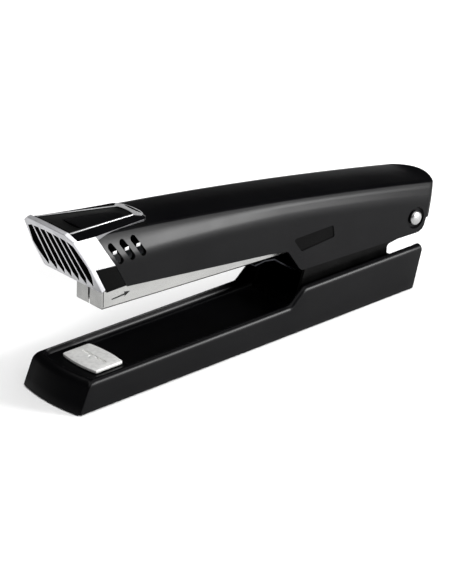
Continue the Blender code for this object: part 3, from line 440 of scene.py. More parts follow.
def makeBase():
    b = baseShape
    sideYs = [-84, -78, -70, -67, -66, -65.2, -64.4, -63.6, -62, -50, -30, -15, 0, 5] + list(
        np.arange(7.0, 20.1, 0.8)) + [22, 30, 45, 60, 70]

    def outer(inset, heightAt, corner):
        # ring on the outer wall; the ends lean with height
        front = b["front"] + b["frontLean"] * min(heightAt(-90), 12.3) + inset
        rear = b["rear"] + b["rearLean"] * heightAt(80) - inset
        ring = planRing(b["half"] - inset, front, rear, corner, b["bow"], sideYs)
        return [(x, y, heightAt(y)) for x, y in ring]

    def inner(half, front, rear, heightAt, corner):
        ring = planRing(half, front, rear, corner, b["bow"], sideYs)
        return [(x, y, heightAt(y)) for x, y in ring]

    rings = []
    hollow = (b["hollowHalf"], -86.0, 72.0)
    rings.append(inner(*hollow, lambda y: b["hollowTop"], 3.0))
    rings.append(inner(*hollow, lambda y: b["lip"] + 0.5, 3.0))
    rings.append(outer(1.4, lambda y: b["lip"], 0.3))
    rings.append(outer(0.4, lambda y: b["lip"], 0.4))
    rings.append(outer(0.1, lambda y: b["lip"] + 0.15, 0.5))
    for height in (0.5, 3.5, 6.5):
        rings.append(outer(0.0, lambda y, h=height: b["lip"] + h, 0.6))
    r = b["rimRound"]
    for k in range(0, 9):
        a = math.pi / 2 * k / 8
        rings.append(outer(r * (1 - math.cos(a)) * 0.72, lambda y, a=a: rimHeight(y) - r * (1 - math.sin(a)),
                           0.6 + 0.16 * k))
    edge = 0.45
    for k in range(1, 5):
        a = math.pi / 2 * k / 4
        wall = b["wallTop"] + edge * (1 - math.sin(a))
        shift = wall - b["wallTop"]
        rings.append(inner(wall, b["trayFront"] - 0.9 - shift, b["trayRear"] + 0.5 + shift,
                           lambda y, a=a: rimHeight(y) - edge * (1 - math.cos(a)), 4.6))
    f = b["trayRound"]
    for k in range(0, 7):
        a = math.pi / 2 * k / 6
        inset = f * (1 - math.cos(a))
        rings.append(inner(b["wallFoot"] - inset, b["trayFront"] + inset * 0.6, b["trayRear"] - inset,
                           lambda y, a=a: min(b["floor"] + f * (1 - math.sin(a)), rimHeight(y) - 0.6),
                           4.6 - 0.3 * k))
    count = len(rings[0])
    shell = gridPiece("baseShell", count, len(rings) - 1, lambda i, j: rings[j][i % count])
    pick(shell)
    bpy.ops.object.mode_set(mode="EDIT")
    bpy.ops.mesh.select_all(action="SELECT")
    bpy.ops.mesh.fill_holes(sides=0)
    bpy.ops.mesh.normals_make_consistent(inside=False)
    bpy.ops.object.mode_set(mode="OBJECT")
    # raised landing that the anvil turns on
    front, low = b["trayFront"] - 1.5, b["floor"] - 0.5
    outline = roundCorners([(front, low), (b["stepAt"] + 1.6, low), (b["stepAt"], b["anvilStep"], 0.7),
                            (front, b["anvilStep"])], 4)
    landing = outlinePiece("landing", outline, -b["wallTop"] - 0.3, b["wallTop"] + 0.3, "YZ")
    cut(shell, landing, "UNION")
    # the tray runs out of the rear end, so its wall is taken away there
    side, low, high = b["gateHalf"], b["gateFloor"], 30.0
    outline = [(-side, low), (side, low), (side, high), (-side, high)]
    gate = outlinePiece("gate", outline, b["gateFront"], 90.0, "XZ")
    cut(shell, gate)
    smooth(shell, 40)
    return finishPiece(shell, "base", "satin_black", mouldedAbs, "base_shell")


makeBase()
print("base made")


anvilShape = {"y": -72.6, "halfX": 9.8, "halfY": 6.2, "bow": 0.9, "top": 11.6, "thick": 1.2, "stud": 1.6}


def makeAnvil():
    a = anvilShape
    curve = [(x, -a["halfY"] - a["bow"] * (1 - (x / a["halfX"]) ** 2))
             for x in np.linspace(-a["halfX"] + 0.9, a["halfX"] - 0.9, 17)]
    sides = [(a["halfX"] - 0.2, -a["halfY"] + 0.2), (a["halfX"], -a["halfY"] + 1.0),
             (a["halfX"], a["halfY"] - 1.0), (a["halfX"] - 0.2, a["halfY"] - 0.2)]
    outline = curve + sides + [(-x, -y) for x, y in curve] + [(-x, -y) for x, y in sides]
    outline = [(x, y + a["y"]) for x, y in outline]
    plate = outlinePiece("anvilPlate", outline, a["top"] - a["thick"], a["top"], "XY")
    softenEdges(plate, 0.22, 50, 3)
    # two bending channels for closed staples at the front, two for open ones behind the stud
    # a bending channel on each side of the stud, a little behind its centre
    for side in (-1, 1):
        middle, row, length = side * 3.7, 1.0, 2.9
        ends = [(middle - length, row - 0.5), (middle - 0.6, row - 0.75), (middle + length, row - 0.4),
                (middle + length, row + 0.4), (middle + 0.6, row + 0.75), (middle - length, row + 0.5)]
        ends = [(x, y + a["y"]) for x, y in ends]
        groove = outlinePiece("groove", ends, a["top"] - 0.9, a["top"] + 1, "XY")
        cut(plate, groove)
    hole = turnedPiece("hole", [(0, a["top"] + 2), (a["stud"] + 0.08, a["top"] + 2),
                                (a["stud"] + 0.08, 9.0), (0, 9.0)], (0, a["y"], 0), "Z", 32)
    cut(plate, hole)
    smooth(plate, 30)
    finishPiece(plate, "anvil", "nickel", anvilNickel, "anvil_plate")

    top = a["top"]
    profile = [(0, top - 0.12), (0.5, top - 0.1), (1.35, top - 0.1), (1.55, top - 0.2), (1.6, top - 0.35),
               (1.6, 10.2), (2.0, 10.2), (2.0, 3.9), (1.4, 3.7), (1.4, 3.5), (0, 3.5)]
    stud = turnedPiece("anvilStud", profile, (0, a["y"], 0), "Z", 40)
    smooth(stud, 30)
    finishPiece(stud, "anvil", "nickel", anvilNickel, "anvil_stud")


makeAnvil()
print("anvil made")


handleShape = {"wall": 1.6, "creaseHalf": 11.9, "dome": 0.6, "lift": 0.55,
               "seamTop": (-80.0, 65.6), "seamLow": (-68.9, 44.2),
               "rear": 88.4, "bulge": 4.7, "lean": 0.19, "rearRound": 1.3, "rearFoot": 30.0,
               "plate": ((12.2, 38.2), (32.6, 38.4), (33.4, 33.4), (16.4, 32.2)), "plateRound": 0.8,
               "plateDepthAt": 14.15}


def topHeight(y):
    return 55.2 - 0.146 * y - 0.00027 * y * y


def bandHeight(y):
    return 48.9 - 0.125 * y - 0.00055 * y * y


def sideHalf(y):
    return float(np.interp(y, (-95, -70, 10, 90), (16.8, 16.2, 14.5, 14.3)))


# the underside line, with the step behind the throat and a rounded corner at the rear
lowerEdgePoints = roundCorners([(-110, 49.3), (-69.0, 44.2), (0.7, 35.7), (9.6, 34.1, 2.4), (16.2, 24.4, 3.0),
                                (35.0, 23.8), (78.2, 22.35), (79.9, 22.8), (81.1, 23.8), (81.9, 25.2),
                                (82.4, 27.4), (99.0, 30.0)], 6)


def lowerEdge(y):
    ys = [p[0] for p in lowerEdgePoints]
    return float(np.interp(y, ys, [p[1] for p in lowerEdgePoints]))


def rearFace(x, z):
    h = handleShape
    return h["rear"] + h["bulge"] * (1 - (x / 12.0) ** 2) - h["lean"] * max(0.0, topHeight(h["rear"]) - z)


def seamAt(z):
    (y0, z0), (y1, z1) = handleShape["seamTop"], handleShape["seamLow"]
    return y0 + (z - z0) * (y1 - y0) / (z1 - z0)


def shellSection(y):
    # half section, from the crown down the side: crown, crisp crease, sloping band, soft shoulder
    crease, side = handleShape["creaseHalf"], sideHalf(y)
    top, band = topHeight(y) + handleShape["lift"], bandHeight(y)
    points = [(crease * t, top + handleShape["dome"] * (1 - t * t) - 0.1 * t)
              for t in (0, 0.2, 0.4, 0.6, 0.8, 0.92)]
    bandTop, bandLow = Vector((crease, top - 0.15)), Vector((side + 0.25, band + 0.2))
    slope = (bandLow - bandTop).normalized()
    roundTop = 0.7
    before = bandTop + Vector((-roundTop, roundTop * 0.08))
    after = bandTop + slope * roundTop
    points += [tuple((1 - t) ** 2 * before + 2 * t * (1 - t) * bandTop + t * t * after) for t in
               (0.0, 0.2, 0.4, 0.6, 0.8, 1.0)]
    low = bandLow - slope * 3.2
    for t in (0.25, 0.5, 0.75):
        spot = after.lerp(low, t)
        bulge = 0.12 * math.sin(math.pi * t)
        points.append((spot.x + bulge, spot.y + bulge * 0.6))
    foot = Vector((side, band - 3.4))
    points += [tuple((1 - t) ** 2 * low + 2 * t * (1 - t) * bandLow + t * t * foot)
               for t in (0.0, 0.17, 0.33, 0.5, 0.67, 0.83, 1.0)]
    return points


def shellRow(y):
    half = shellSection(y)
    bottom = lowerEdge(y)
    foot = half[-1]
    down = [(foot[0], mix(foot[1], min(bottom, foot[1] - 0.5), t))
            for t in (0.15, 0.3, 0.45, 0.6, 0.75, 0.88, 0.97, 1.0)]
    half = half + down
    return [(-x, z) for x, z in reversed(half[1:])] + half


def makeHandleShell():
    h = handleShape
    ys = [-80, -76, -72, -68, -64, -60, -55, -50, -44, -38, -32, -26, -20, -14, -8, -3, 1, 3, 5] + list(
        np.arange(6.2, 20.5, 0.6)) + [22, 25, 29, 34, 40, 46, 52, 58, 64, 69, 73, 76]
    rows = []
    count = len(shellRow(0.0))
    for y in ys:
        row = []
        for k in range(count):
            x, z = shellRow(y)[k]
            spot = y
            if y < -30:
                # the front rows lean with the seam, and straighten out behind it
                for _ in range(3):
                    blend = (-30 - y) / 50
                    spot = mix(y, seamAt(z) + (y + 80) * 0.5, blend) if y > -80 else seamAt(z)
                    x, z = shellRow(spot)[k]
            row.append((x, spot, z))
        rows.append(row)
    # rows that swell out to the bowed rear wall, then a round edge, then the wall itself
    rr = h["rearRound"]
    start = ys[-1]
    for t in (0.25, 0.5, 0.75, 0.9, 1.0):
        row = []
        for k in range(count):
            x, z = shellRow(start)[k]
            for _ in range(3):
                y = mix(start, rearFace(x, z) - rr, t)
                x, z = shellRow(min(y, 88.0))[k]
            row.append((x, y, z))
        rows.append(row)
    rim = rows[-1]
    floor = h["rearFoot"]
    for k in range(1, 6):
        a = math.pi / 2 * k / 5
        pull = rr * (1 - math.cos(a))
        row = []
        for x, y, z in rim:
            size = math.hypot(x, max(0.0, z - floor)) or 1.0
            x1, z1 = x * (1 - pull / size), z - max(0.0, z - floor) * pull / size
            row.append((x1, rearFace(x1, z1) - rr * (1 - math.sin(a)), z1))
        rows.append(row)
    edge = rows[-1]
    for scale in (0.8, 0.6, 0.4, 0.2, 0.0):
        row = []
        for x, y, z in edge:
            x1 = x * scale
            z1 = mix(floor, z, scale) if z > floor else z
            row.append((x1, rearFace(x1, z1), z1) if z > floor else (x, y, z))
        rows.append(row)
    shell = gridPiece("handleShell", count - 1, len(rows) - 1, lambda i, j: rows[j][i])
    return shell


windowPlaces = (-73.0, -67.6, -62.4)


def windowTool(y, sign):
    stadium = [(1.3 * math.cos(a), 3.1 * (1 if math.sin(a) >= 0 else -1) + 1.3 * math.sin(a))
               for a in np.linspace(0.05, 2 * math.pi + 0.05, 24, endpoint=False)]
    tool = outlinePiece("window", stadium, -5, 5, "YZ")
    lean = Matrix.Rotation(math.radians(29), 4, "X")
    return turn(tool, Matrix.Translation(Vector((sign * 14.5, y, 57.6)) * mm) @ lean)


def wallShell():
    h = handleShape
    shell = makeHandleShell()
    apply(shell, "SOLIDIFY", thickness=handleShape["wall"] * mm, offset=-1, use_even_offset=True)
    for y in windowPlaces:
        for sign in (1, -1):
            cut(shell, windowTool(y, sign))
    for sign in (1, -1):
        face = sideHalf(pivotY)
        profile = [(0, 2.0), (4.4, 2.0), (4.4, 0.1), (4.0, -0.3), (0, -0.3)]
        well = turnedPiece("well", profile, (0, 0, 0), "X", 48)
        if sign < 0:
            turn(well, Matrix.Rotation(math.pi, 4, "Z"))
        turn(well, Matrix.Translation(Vector((sign * (face - 0.7), pivotY, pivotZ)) * mm))
        cut(shell, well)
        profile = [(0, -4), (2.5, -4), (2.5, 4), (0, 4)]
        bore = turnedPiece("bore", profile, (sign * face, pivotY, pivotZ), "X", 32)
        cut(shell, bore)
        # blank recessed plate on the side
        outline = roundCorners([(y, z, h["plateRound"]) for y, z in h["plate"]], 4)
        deep, clear = h["plateDepthAt"], 18.0
        plate = outlinePiece("plate", outline, deep, clear, "YZ")
        if sign < 0:
            turn(plate, Matrix.Translation((-(deep + clear) * mm, 0, 0)))
        cut(shell, plate)
    softenEdges(shell, 0.22, 48, 2)
    smooth(shell, 32)
    finishPiece(shell, "handle", "satin_black", mouldedAbs, "handle_shell")
    # the plate's floor and the window walls are left coarse and black as painted shade
    paintFaces(shell, paintedShadeBlack, lambda c, n: 12.0 < c.y < 33.8 and 32.0 < c.z < 38.7
               and 13.9 < abs(c.x) < 14.35)
    return paintFaces(shell, paintedShadeBlack, lambda c, n: -77.5 < c.y < -57.5 and 52.0 < c.z < 63.5
                      and abs(n.x) < 0.72 and c.y > seamAt(c.z) + 0.8)


wallShell()
print("handle shell made")


noseShape = {"faceTop": (-92.0, 68.6), "faceLow": (-80.4, 44.7), "grille": 1.8, "gap": 0.25, "low": 44.7,
             "rimFront": (-92.5, 68.6), "rimSlope": -0.106, "crescentRear": -51.3, "crescentFront": -55.8}


def faceAt(z):
    (y0, z0), (y1, z1) = noseShape["faceTop"], noseShape["faceLow"]
    return y0 + (z - z0) * (y1 - y0) / (z1 - z0)


def rimAt(y):
    y0, z0 = noseShape["rimFront"]
    return z0 + noseShape["rimSlope"] * (y - y0)


def edgeHalf(y):
    return float(np.interp(y, (-97, -90.7, -80, -56, -54), (14.6, 13.9, 13.0, 9.1, 8.0)))


def edgeHeight(y):
    return float(np.interp(y, (-97, -90.7, -80, -51.4), (67.2, 66.5, 65.5, 63.6)))


def shellSurface(x, y):
    crease, side = handleShape["creaseHalf"], sideHalf(y)
    if abs(x) <= crease:
        return topHeight(y) + handleShape["dome"] * (1 - (x / crease) ** 2) - 0.1
    return topHeight(y) - 0.15 - (abs(x) - crease) / (side - crease) * (topHeight(y) - bandHeight(y))


def tonguePlan(half, rear, steps=20):
    # half(y) gives the half width; the rear end is an arc
    shoulder = -56.5
    width = half(shoulder)
    sides = [(half(y), y) for y in (-96, -91, -86, -80, -74, -68, -62, shoulder)]
    tail = []
    for k in range(1, steps):
        a = math.pi * k / steps
        tail.append((width * math.copysign(abs(math.cos(a)) ** 0.8, math.cos(a)),
                     shoulder + (rear - shoulder) * math.sin(a) ** 0.9))
    return sides + tail + [(-x, y) for x, y in reversed(sides)]


def makeNoseCap():
    n = noseShape
    rimHalf = lambda y: float(np.interp(y, (-96, -92, -86, -77, -68, -58.6),
                                        (11.2, 10.9, 10.4, 9.5, 8.9, 8.4)))
    rear = n["crescentRear"]
    top = tonguePlan(rimHalf, rear - 0.9)
    edge = tonguePlan(edgeHalf, rear)
    rings = [[(0.0, y, rimAt(y)) for x, y in top], [(x * 0.5, y, rimAt(y)) for x, y in top],
             [(x, y, rimAt(y)) for x, y in top], [(x, y, edgeHeight(y)) for x, y in edge],
             [(x, y, min(shellSurface(x, y) - 0.35, edgeHeight(y) - 0.4)) for x, y in edge],
             [(0.0, y, shellSurface(0, y) - 0.35) for x, y in edge]]
    count = len(top)
    tongue = gridPiece("noseCap", count, len(rings) - 1, lambda i, j: rings[j][i % count])
    # the block between the grille and the seam: sloping facet above, upright side below
    sideEdge = lambda y: (float(np.interp(y, (-97, -70), (16.9, 16.3))), 54.8 - 0.09 * (y + 84.6))

    def blockSection(y):
        (sx, sz) = sideEdge(y)
        height = edgeHeight(y)
        return [(0.0, height - 0.1), (edgeHalf(y), height - 0.02), (sx, sz), (sx, 40.0), (0.0, 40.0)]

    def leaned(place):
        row = []
        for k in range(5):
            y = -80.0
            for _ in range(4):
                x, z = blockSection(y)[k]
                y = place(z)
            row.append((x, y, z))
        return row + [(-x, y, z) for x, y, z in reversed(row[1:-1])]

    front = leaned(lambda z: faceAt(z) - 3)
    back = leaned(lambda z: seamAt(z) - 0.22)
    mean = lambda row, axis: sum(p[axis] for p in row) / len(row)
    centre = lambda row: [(0.0, mean(row, 1), mean(row, 2))] * len(row)
    rows = [centre(front), front, back, centre(back)]
    block = gridPiece("block", 8, 3, lambda i, j: rows[j][i % 8])
    cut(tongue, block, "UNION")
    # trimmed to the back of the grille and to the flat underside
    face = [(faceAt(z) + n["grille"] + n["gap"], z) for z in (95.0, 25.0)]
    cut(tongue, outlinePiece("face", face + [(-140, 25.0), (-140, 95.0)], -30, 30, "YZ"))
    under = [(-130, 20), (-30, 20), (-30, n["low"]), (-130, n["low"])]
    cut(tongue, outlinePiece("under", under, -30, 30, "YZ"))
    wall = 1.5
    hollow = [(13.6 - wall, 61.5), (16.4 - wall, 54.6), (16.4 - wall, 30.0)]
    ring = hollow + [(-x, z) for x, z in reversed(hollow)]
    core = outlinePiece("core", ring, -100, -60.0, "XZ")
    cut(tongue, core)
    softenEdges(tongue, 0.28, 24, 3)
    smooth(tongue, 28)
    return tongue


def padPlan(grow):
    # the pad narrows to the rear and ends in a shallow arc
    front, rear = -93.5, -57.0
    half = lambda y: 10.35 - 0.158 * (y + 92.5) + grow
    apex = noseShape["crescentFront"] + grow
    tail = [(half(rear) * math.cos(a), rear + (apex - rear) * math.sin(a))
            for a in np.linspace(0, math.pi, 13)]
    return [(half(front), front)] + tail + [(-half(front), front)]


def padSurface(x, y):
    # dished across and along, with its edges level with the rim
    half = 10.35 - 0.158 * (y + 92.5)
    across = max(0.0, 1 - (x / half) ** 2)
    along = min(1.0, max(0.0, (noseShape["crescentFront"] - y) / 9.0))
    return rimAt(y) - 0.25 - 1.5 * across ** 0.8 * math.sin(along * math.pi / 2) ** 0.8


def cutToFace(obj):
    face = [(faceAt(z) + noseShape["grille"] + noseShape["gap"], z) for z in (95.0, 25.0)]
    return cut(obj, outlinePiece("face", face + [(-140, 25.0), (-140, 95.0)], -30, 30, "YZ"))


def makePad():
    columns, rows = 24, 30

    def spot(i, j):
        t = j / rows
        y = mix(-94.0, -57.0, t)
        half = 10.35 - 0.158 * (y + 92.5)
        u = -1 + 2 * i / columns
        x = half * u
        if j == rows or t > 0.0:
            # the last rows swing out to the arc behind
            bulge = (noseShape["crescentFront"] + 57.0) * (1 - u * u) * t ** 6
            y = y + bulge
        return (x, y, padSurface(x, y))
    pad = gridPiece("thumbPad", columns, rows, spot)
    apply(pad, "SOLIDIFY", thickness=1.0 * mm, offset=-1, use_even_offset=True)
    cutToFace(pad)
    softenEdges(pad, 0.12, 50, 2)
    smooth(pad, 35)
    return pad


def makeRecessTool():
    outline = padPlan(0.0)
    rings = [[(0, y, rimAt(y) + 5) for x, y in outline], [(x, y, rimAt(y) + 5) for x, y in outline],
             [(x, y, rimAt(y) - 1.9) for x, y in outline], [(0, y, rimAt(y) - 1.9) for x, y in outline]]
    count = len(outline)
    return gridPiece("recess", count, 3, lambda i, j: rings[j][i % count])


def makeBezel():
    # two slim bright edges beside the pad, and a broad crescent behind it, in chrome as a painted reflection
    # of the light on the recess edges
    inner = padPlan(0.02)
    outer = []
    count = len(inner)
    tips = len(inner) - 2
    for k, (x, y) in enumerate(inner):
        if k == 0 or k == count - 1:
            outer.append((x + math.copysign(0.62, x), y))
            continue
        a = math.pi * (k - 1) / (tips - 1)
        width = 7.7
        outer.append((width * math.cos(a) if 0 < k - 1 < tips - 1 else x + math.copysign(0.62, x),
                      -57.0 + (noseShape["crescentRear"] + 57.0) * math.sin(a) ** 0.75
                      if 0 < k - 1 < tips - 1 else y))
    # the crescent rises a little over the rim and falls with its rear edge
    fall = lambda y: 0.4 * max(0.0, min(1.0, (y + 54.0) / 2.7))

    def ringAt(points, lift):
        return [(x, y, rimAt(y) - fall(y) + lift) for x, y in points]
    rings = [ringAt(inner, -0.7), ringAt(inner, 0.2), ringAt(outer, 0.2), ringAt(outer, -1.2)]
    piece = gridPiece("padBezel", count - 1, 4, lambda i, j: (rings + [rings[0]])[j][i])
    cutFront = [(faceAt(z) + noseShape["grille"] + noseShape["gap"], z) for z in (95.0, 25.0)]
    pick(piece)
    bpy.ops.object.mode_set(mode="EDIT")
    bpy.ops.mesh.select_all(action="DESELECT")
    bpy.ops.mesh.select_mode(type="EDGE")
    bpy.ops.mesh.select_non_manifold()
    bpy.ops.mesh.edge_face_add()
    bpy.ops.mesh.select_all(action="SELECT")
    bpy.ops.mesh.normals_make_consistent(inside=False)
    bpy.ops.object.mode_set(mode="OBJECT")
    cut(piece, outlinePiece("face", cutFront + [(-140, 25.0), (-140, 95.0)], -30, 30, "YZ"))
    softenEdges(piece, 0.1, 40, 2)
    smooth(piece, 35)
    return piece


def makeGrille():
    n = noseShape
    length = math.hypot(n["faceLow"][0] - n["faceTop"][0], n["faceTop"][1] - n["faceLow"][1])
    along = lambda z: (z - n["faceTop"][1]) * length / (n["faceTop"][1] - n["faceLow"][1])
    half = [(0.0, along(68.62)), (10.7, along(68.5)), (14.0, along(66.5)), (16.75, along(55.0)),
            (16.75, along(45.3)), (16.2, along(44.75)), (0.0, along(44.75))]
    outline = half + [(-x, z) for x, z in reversed(half[1:-1])]
    plate = outlinePiece("noseGrille", outline, 0.0, n["grille"], "XZ")
    softenEdges(plate, 0.3, 30, 3)
    slots, bar = 7, 0.42
    topEdge = lambda x: -2.75 - 0.035 * abs(x)
    lowEdge = -25.3
    for k in range(slots):
        middle = k - (slots - 1) / 2
        sign = -1 if middle < 0 else 1
        topIn, topOut = (abs(middle) - 0.5) * 3.75 + bar, (abs(middle) + 0.5) * 3.75 - bar
        lowIn, lowOut = (abs(middle) - 0.5) * 4.3 + bar, (abs(middle) + 0.5) * 4.3 - bar
        if k in (0, slots - 1):
            # the end slots follow the slanted edge of the face
            topOut, lowOut = 12.9, 15.6
            shape = [(topIn, topEdge(topIn) - 0.1, 0.2), (topOut, topEdge(topOut) - 1.3, 1.0),
                     (lowOut, -13.6, 0.8), (lowOut - 0.5, -18.5, 0.8),
                     (mix(lowIn, lowOut, 0.35), lowEdge + 0.6, 0.3), (lowIn, -21.4, 0.6)]
        else:
            shape = [(topIn, topEdge(topIn), 0.2), (topOut, topEdge(topOut) - 0.25, 0.3),
                     (lowOut, -21.2, 0.5), (mix(lowIn, lowOut, 0.45), lowEdge, 0.2), (lowIn, -22.0, 0.5)]
        shape = roundCorners([(sign * p[0], *p[1:]) for p in shape], 3)
        cut(plate, outlinePiece("slot", shape, -4, 6, "XZ"))
    smooth(plate, 30)
    edgeOf = lambda z: float(np.interp(z, (along(55.0), along(66.5), along(68.5)), (16.75, 14.0, 10.7)))
    plate.data.materials.append(satinPlate)
    # the slots' own walls are painted black as shade, so that only the bars shine
    paintFaces(plate, paintedShadeBlack, lambda c, n: c.y > 0.25 and abs(c.x) < edgeOf(c.z) - 0.5
               and -25.9 < c.z < -1.2)
    lean = math.atan2(n["faceLow"][0] - n["faceTop"][0], n["faceTop"][1] - n["faceLow"][1])
    corner = Vector((0, n["faceTop"][0], n["faceTop"][1])) * mm
    place = Matrix.Translation(corner) @ Matrix.Rotation(lean, 4, "X")
    turn(plate, place)
    # matt black screen that closes the slots from behind: a painted shade sheet
    inset = [(x * 0.9, z * 0.93 - 1.0) for x, z in outline]
    screen = outlinePiece("noseShadeScreen", inset, n["grille"] + 0.02, n["grille"] + 0.9, "XZ")
    softenEdges(screen, 0.15, 40, 2)
    smooth(screen, 30)
    turn(screen, place)
    finishPiece(screen, "handle", "grip", paintedShadeBlack)
    return finishPiece(plate, "handle", "satin_silver", satinPlate, "nose_grille")


tabShape = {"low": 57.25, "high": 58.5, "reach": 14.75, "half": 0.95}


def makeNoseBracket():
    # chrome plate behind the windows, with a tab that snaps into each one; all but the tab ends is painted
    # black as shade
    t = tabShape
    outline = [(12.0, -77.2), (12.0, -56.2), (10.8, -54.9), (-10.8, -54.9), (-12.0, -56.2), (-12.0, -77.2),
               (-10.4, -78.2), (10.4, -78.2)]
    plate = outlinePiece("noseBracket", outline, t["low"], t["high"], "XY")
    for y in windowPlaces:
        tab = outlinePiece("tab", [(-t["reach"], y - t["half"]), (t["reach"], y - t["half"]),
                                   (t["reach"], y + t["half"]), (-t["reach"], y + t["half"])],
                           t["low"], t["high"], "XY")
        cut(plate, tab, "UNION")
    softenEdges(plate, 0.15, 50, 2)
    smooth(plate, 30)
    finishPiece(plate, "handle", "chrome", chrome, "nose_bracket")
    # painted shade: the plate inside the windows' reach is painted black
    return paintFaces(plate, paintedShadeBlack, lambda c, n: abs(c.x) < 14.2)


makeNoseBracket()
noseCap = makeNoseCap()
cut(noseCap, makeRecessTool())
smooth(noseCap, 28)
finishPiece(noseCap, "handle", "gloss_black", polishedAbs, "nose_cap")
# the side facet is painted chrome as a painted reflection of the light
paintFaces(noseCap, chrome, lambda c, n: abs(n.x) > 0.6 and n.z > -0.4 and c.z > 55.3 - 0.09 * (c.y + 84.6)
           and abs(c.x) > edgeHalf(c.y) - 0.7 and c.z < edgeHeight(c.y) + 0.05)
# painted shade under the painted-reflection panel, coarse and black; and a duller grey painted reflection on
# the edge beside the crescent
paintFaces(noseCap, paintedShadeBlack, lambda c, n: abs(n.x) > 0.6 and c.z < 55.3 - 0.09 * (c.y + 84.6))
paintFaces(noseCap, paintedReflectionEdge, lambda c, n: abs(n.x) > 0.6 and n.z > -0.4 and c.y > seamAt(c.z) - 0.1
           and abs(c.x) > edgeHalf(c.y) - 0.7 and c.z < edgeHeight(c.y) + 0.05)
finishPiece(makePad(), "handle", "grip", softPad, "thumb_pad")
# the bezel's chrome is a painted reflection
finishPiece(makeBezel(), "handle", "chrome", chrome, "pad_bezel")
makeGrille()
print("nose made")


magazineShape = {"half": 7.4, "wall": 0.6, "front": -150.6, "low": -2.3, "high": 9.2, "rail": -147.2}


def makeMagazine():
    m = magazineShape
    ear = [(5.6 * math.cos(a), 5.6 * math.sin(a)) for a in np.linspace(math.radians(-60), math.pi / 2, 14)]
    side = [(m["front"], m["low"]), (-3.5, m["low"])] + ear + [(-14.0, m["high"]), (m["front"], m["high"])]
    channel = outlinePiece("magazineChannel", side, -m["half"], m["half"], "YZ")
    softenEdges(channel, 0.55, 60, 4)
    inner, floor = m["half"] - m["wall"], m["low"] + m["wall"]
    tools = [
        ([(m["front"] + m["wall"], floor), (20, floor), (20, 30), (m["front"] + m["wall"], 30)], inner),
        ([(-9.0, -20), (20, -20), (20, 20), (-9.0, 20)], inner),
        ([(m["front"] + m["wall"], -6), (m["rail"] - 0.6, -6), (m["rail"] - 0.6, floor + 1),
          (m["front"] + m["wall"], floor + 1)], inner),
        ([(m["front"] - 2, -6), (m["front"] + 1.6, -6), (m["front"] + 1.6, 5.5),
          (m["front"] - 2, 5.5)], 0.5),
    ]
    for outline, half in tools:
        cut(channel, outlinePiece("tool", outline, -half, half, "YZ"))
    cut(channel, turnedPiece("bore", [(0, -20), (2.5, -20), (2.5, 20), (0, 20)], (0, 0, 0), "X", 32))
    # pressed arrow on each side, and a strike line along the foot
    arrow = [(-146.0, 0.55), (-140.0, 1.05), (-140.5, 0.3), (-137.6, 2.0), (-140.6, 2.4), (-140.2, 1.75),
             (-146.2, 0.95)]
    for sign in (1, -1):
        outside = sorted((sign * (m["half"] - 0.18), sign * (m["half"] + 1)))
        cut(channel, outlinePiece("arrow", arrow, *outside, "YZ"))
        foot = [(m["front"] + 1.2, m["low"] + 0.25), (-6.0, m["low"] + 0.25), (-6.0, m["low"] + 0.6),
                (m["front"] + 1.2, m["low"] + 0.6)]
        nose = [(m["front"] + 0.55, m["low"] + 0.9), (m["front"] + 0.85, m["low"] + 0.9),
                (m["front"] + 0.85, 8.8), (m["front"] + 0.55, 8.8)]
        for groove in (foot, nose):
            inside = sorted((sign * (m["half"] - 0.3), sign * (m["half"] + 1)))
            cut(channel, outlinePiece("groove", groove, *inside, "YZ"))
    smooth(channel, 30)
    finishPiece(channel, "magazine", "nickel", nickel, "magazine_channel")
    # the pressed lines are painted dark as shade
    inLine = lambda c: m["low"] + 0.2 < c.z < m["low"] + 0.65
    atNose = lambda c: m["front"] + 0.5 < c.y < -137
    paintFaces(channel, paintedGrooveShade, lambda c, n: m["half"] - 0.31 < abs(c.x) < m["half"] - 0.005
               and c.y < -5 and (inLine(c) or atNose(c)) and c.z < 8.9)
    turn(channel, magazinePlace)
    return channel


def makeStaples():
    # a part-used strip: one bent staple, copied along the rail
    wire, pitch, half, top, foot = 0.5, 0.506, 6.5, 6.2, 0.2
    front, count = -148.0, 97
    bend, inside = 0.5, half - wire
    shape = roundCorners([(-half, foot), (-half, top, bend), (half, top, bend), (half, foot), (inside, foot),
                          (inside, top - wire, 0.12), (-inside, top - wire, 0.12), (-inside, foot)], 2)
    staple = outlinePiece("stapleStrip", shape, front, front + wire - 0.03, "XZ")
    softenEdges(staple, 0.07, 60, 1)
    apply(staple, "ARRAY", count=count, use_relative_offset=False, use_constant_offset=True,
          constant_offset_displace=(0, pitch * mm, 0))
    smooth(staple, 35)
    turn(staple, magazinePlace)
    return finishPiece(staple, "magazine", "zinc", zinc, "staple_strip")


def makeCoil(name, body, slot, nodes, radius, wire, turns, start, end, height):
    # close-wound ends and an open middle
    steps = turns * 20
    points = []
    for k in range(steps + 1):
        t = k / steps
        y = mix(start, end, t + 0.6 * math.sin(2 * math.pi * t) / (2 * math.pi) * -0.35)
        a = 2 * math.pi * turns * t
        points.append((radius * math.cos(a), y, height + radius * math.sin(a)))
    curve = bpy.data.curves.new(name, "CURVE")
    curve.dimensions = "3D"
    curve.bevel_depth = wire * mm
    curve.bevel_resolution = 3
    curve.use_fill_caps = True
    spline = curve.splines.new("POLY")
    spline.points.add(steps)
    for spot, point in zip(spline.points, points):
        spot.co = (*(Vector(point) * mm), 1)
    coil = bpy.data.objects.new(name, curve)
    bpy.context.scene.collection.objects.link(coil)
    pick(coil)
    bpy.ops.object.convert(target="MESH")
    coil = named(bpy.context.object, name)
    cleanUp(coil)
    smooth(coil, 50)
    turn(coil, magazinePlace)
    return finishPiece(coil, body, slot, shadeDarkSpringSteel, *nodes)


makeMagazine()
makeStaples()
makeCoil("pusherSpring", "magazine", "spring_steel", ["pusher_spring"], 1.95, 0.26, 34, -87.7, -16.6, 2.0)
print("magazine made")


pinShape = {"radius": 2.2, "head": 2.9, "rise": 1.6}


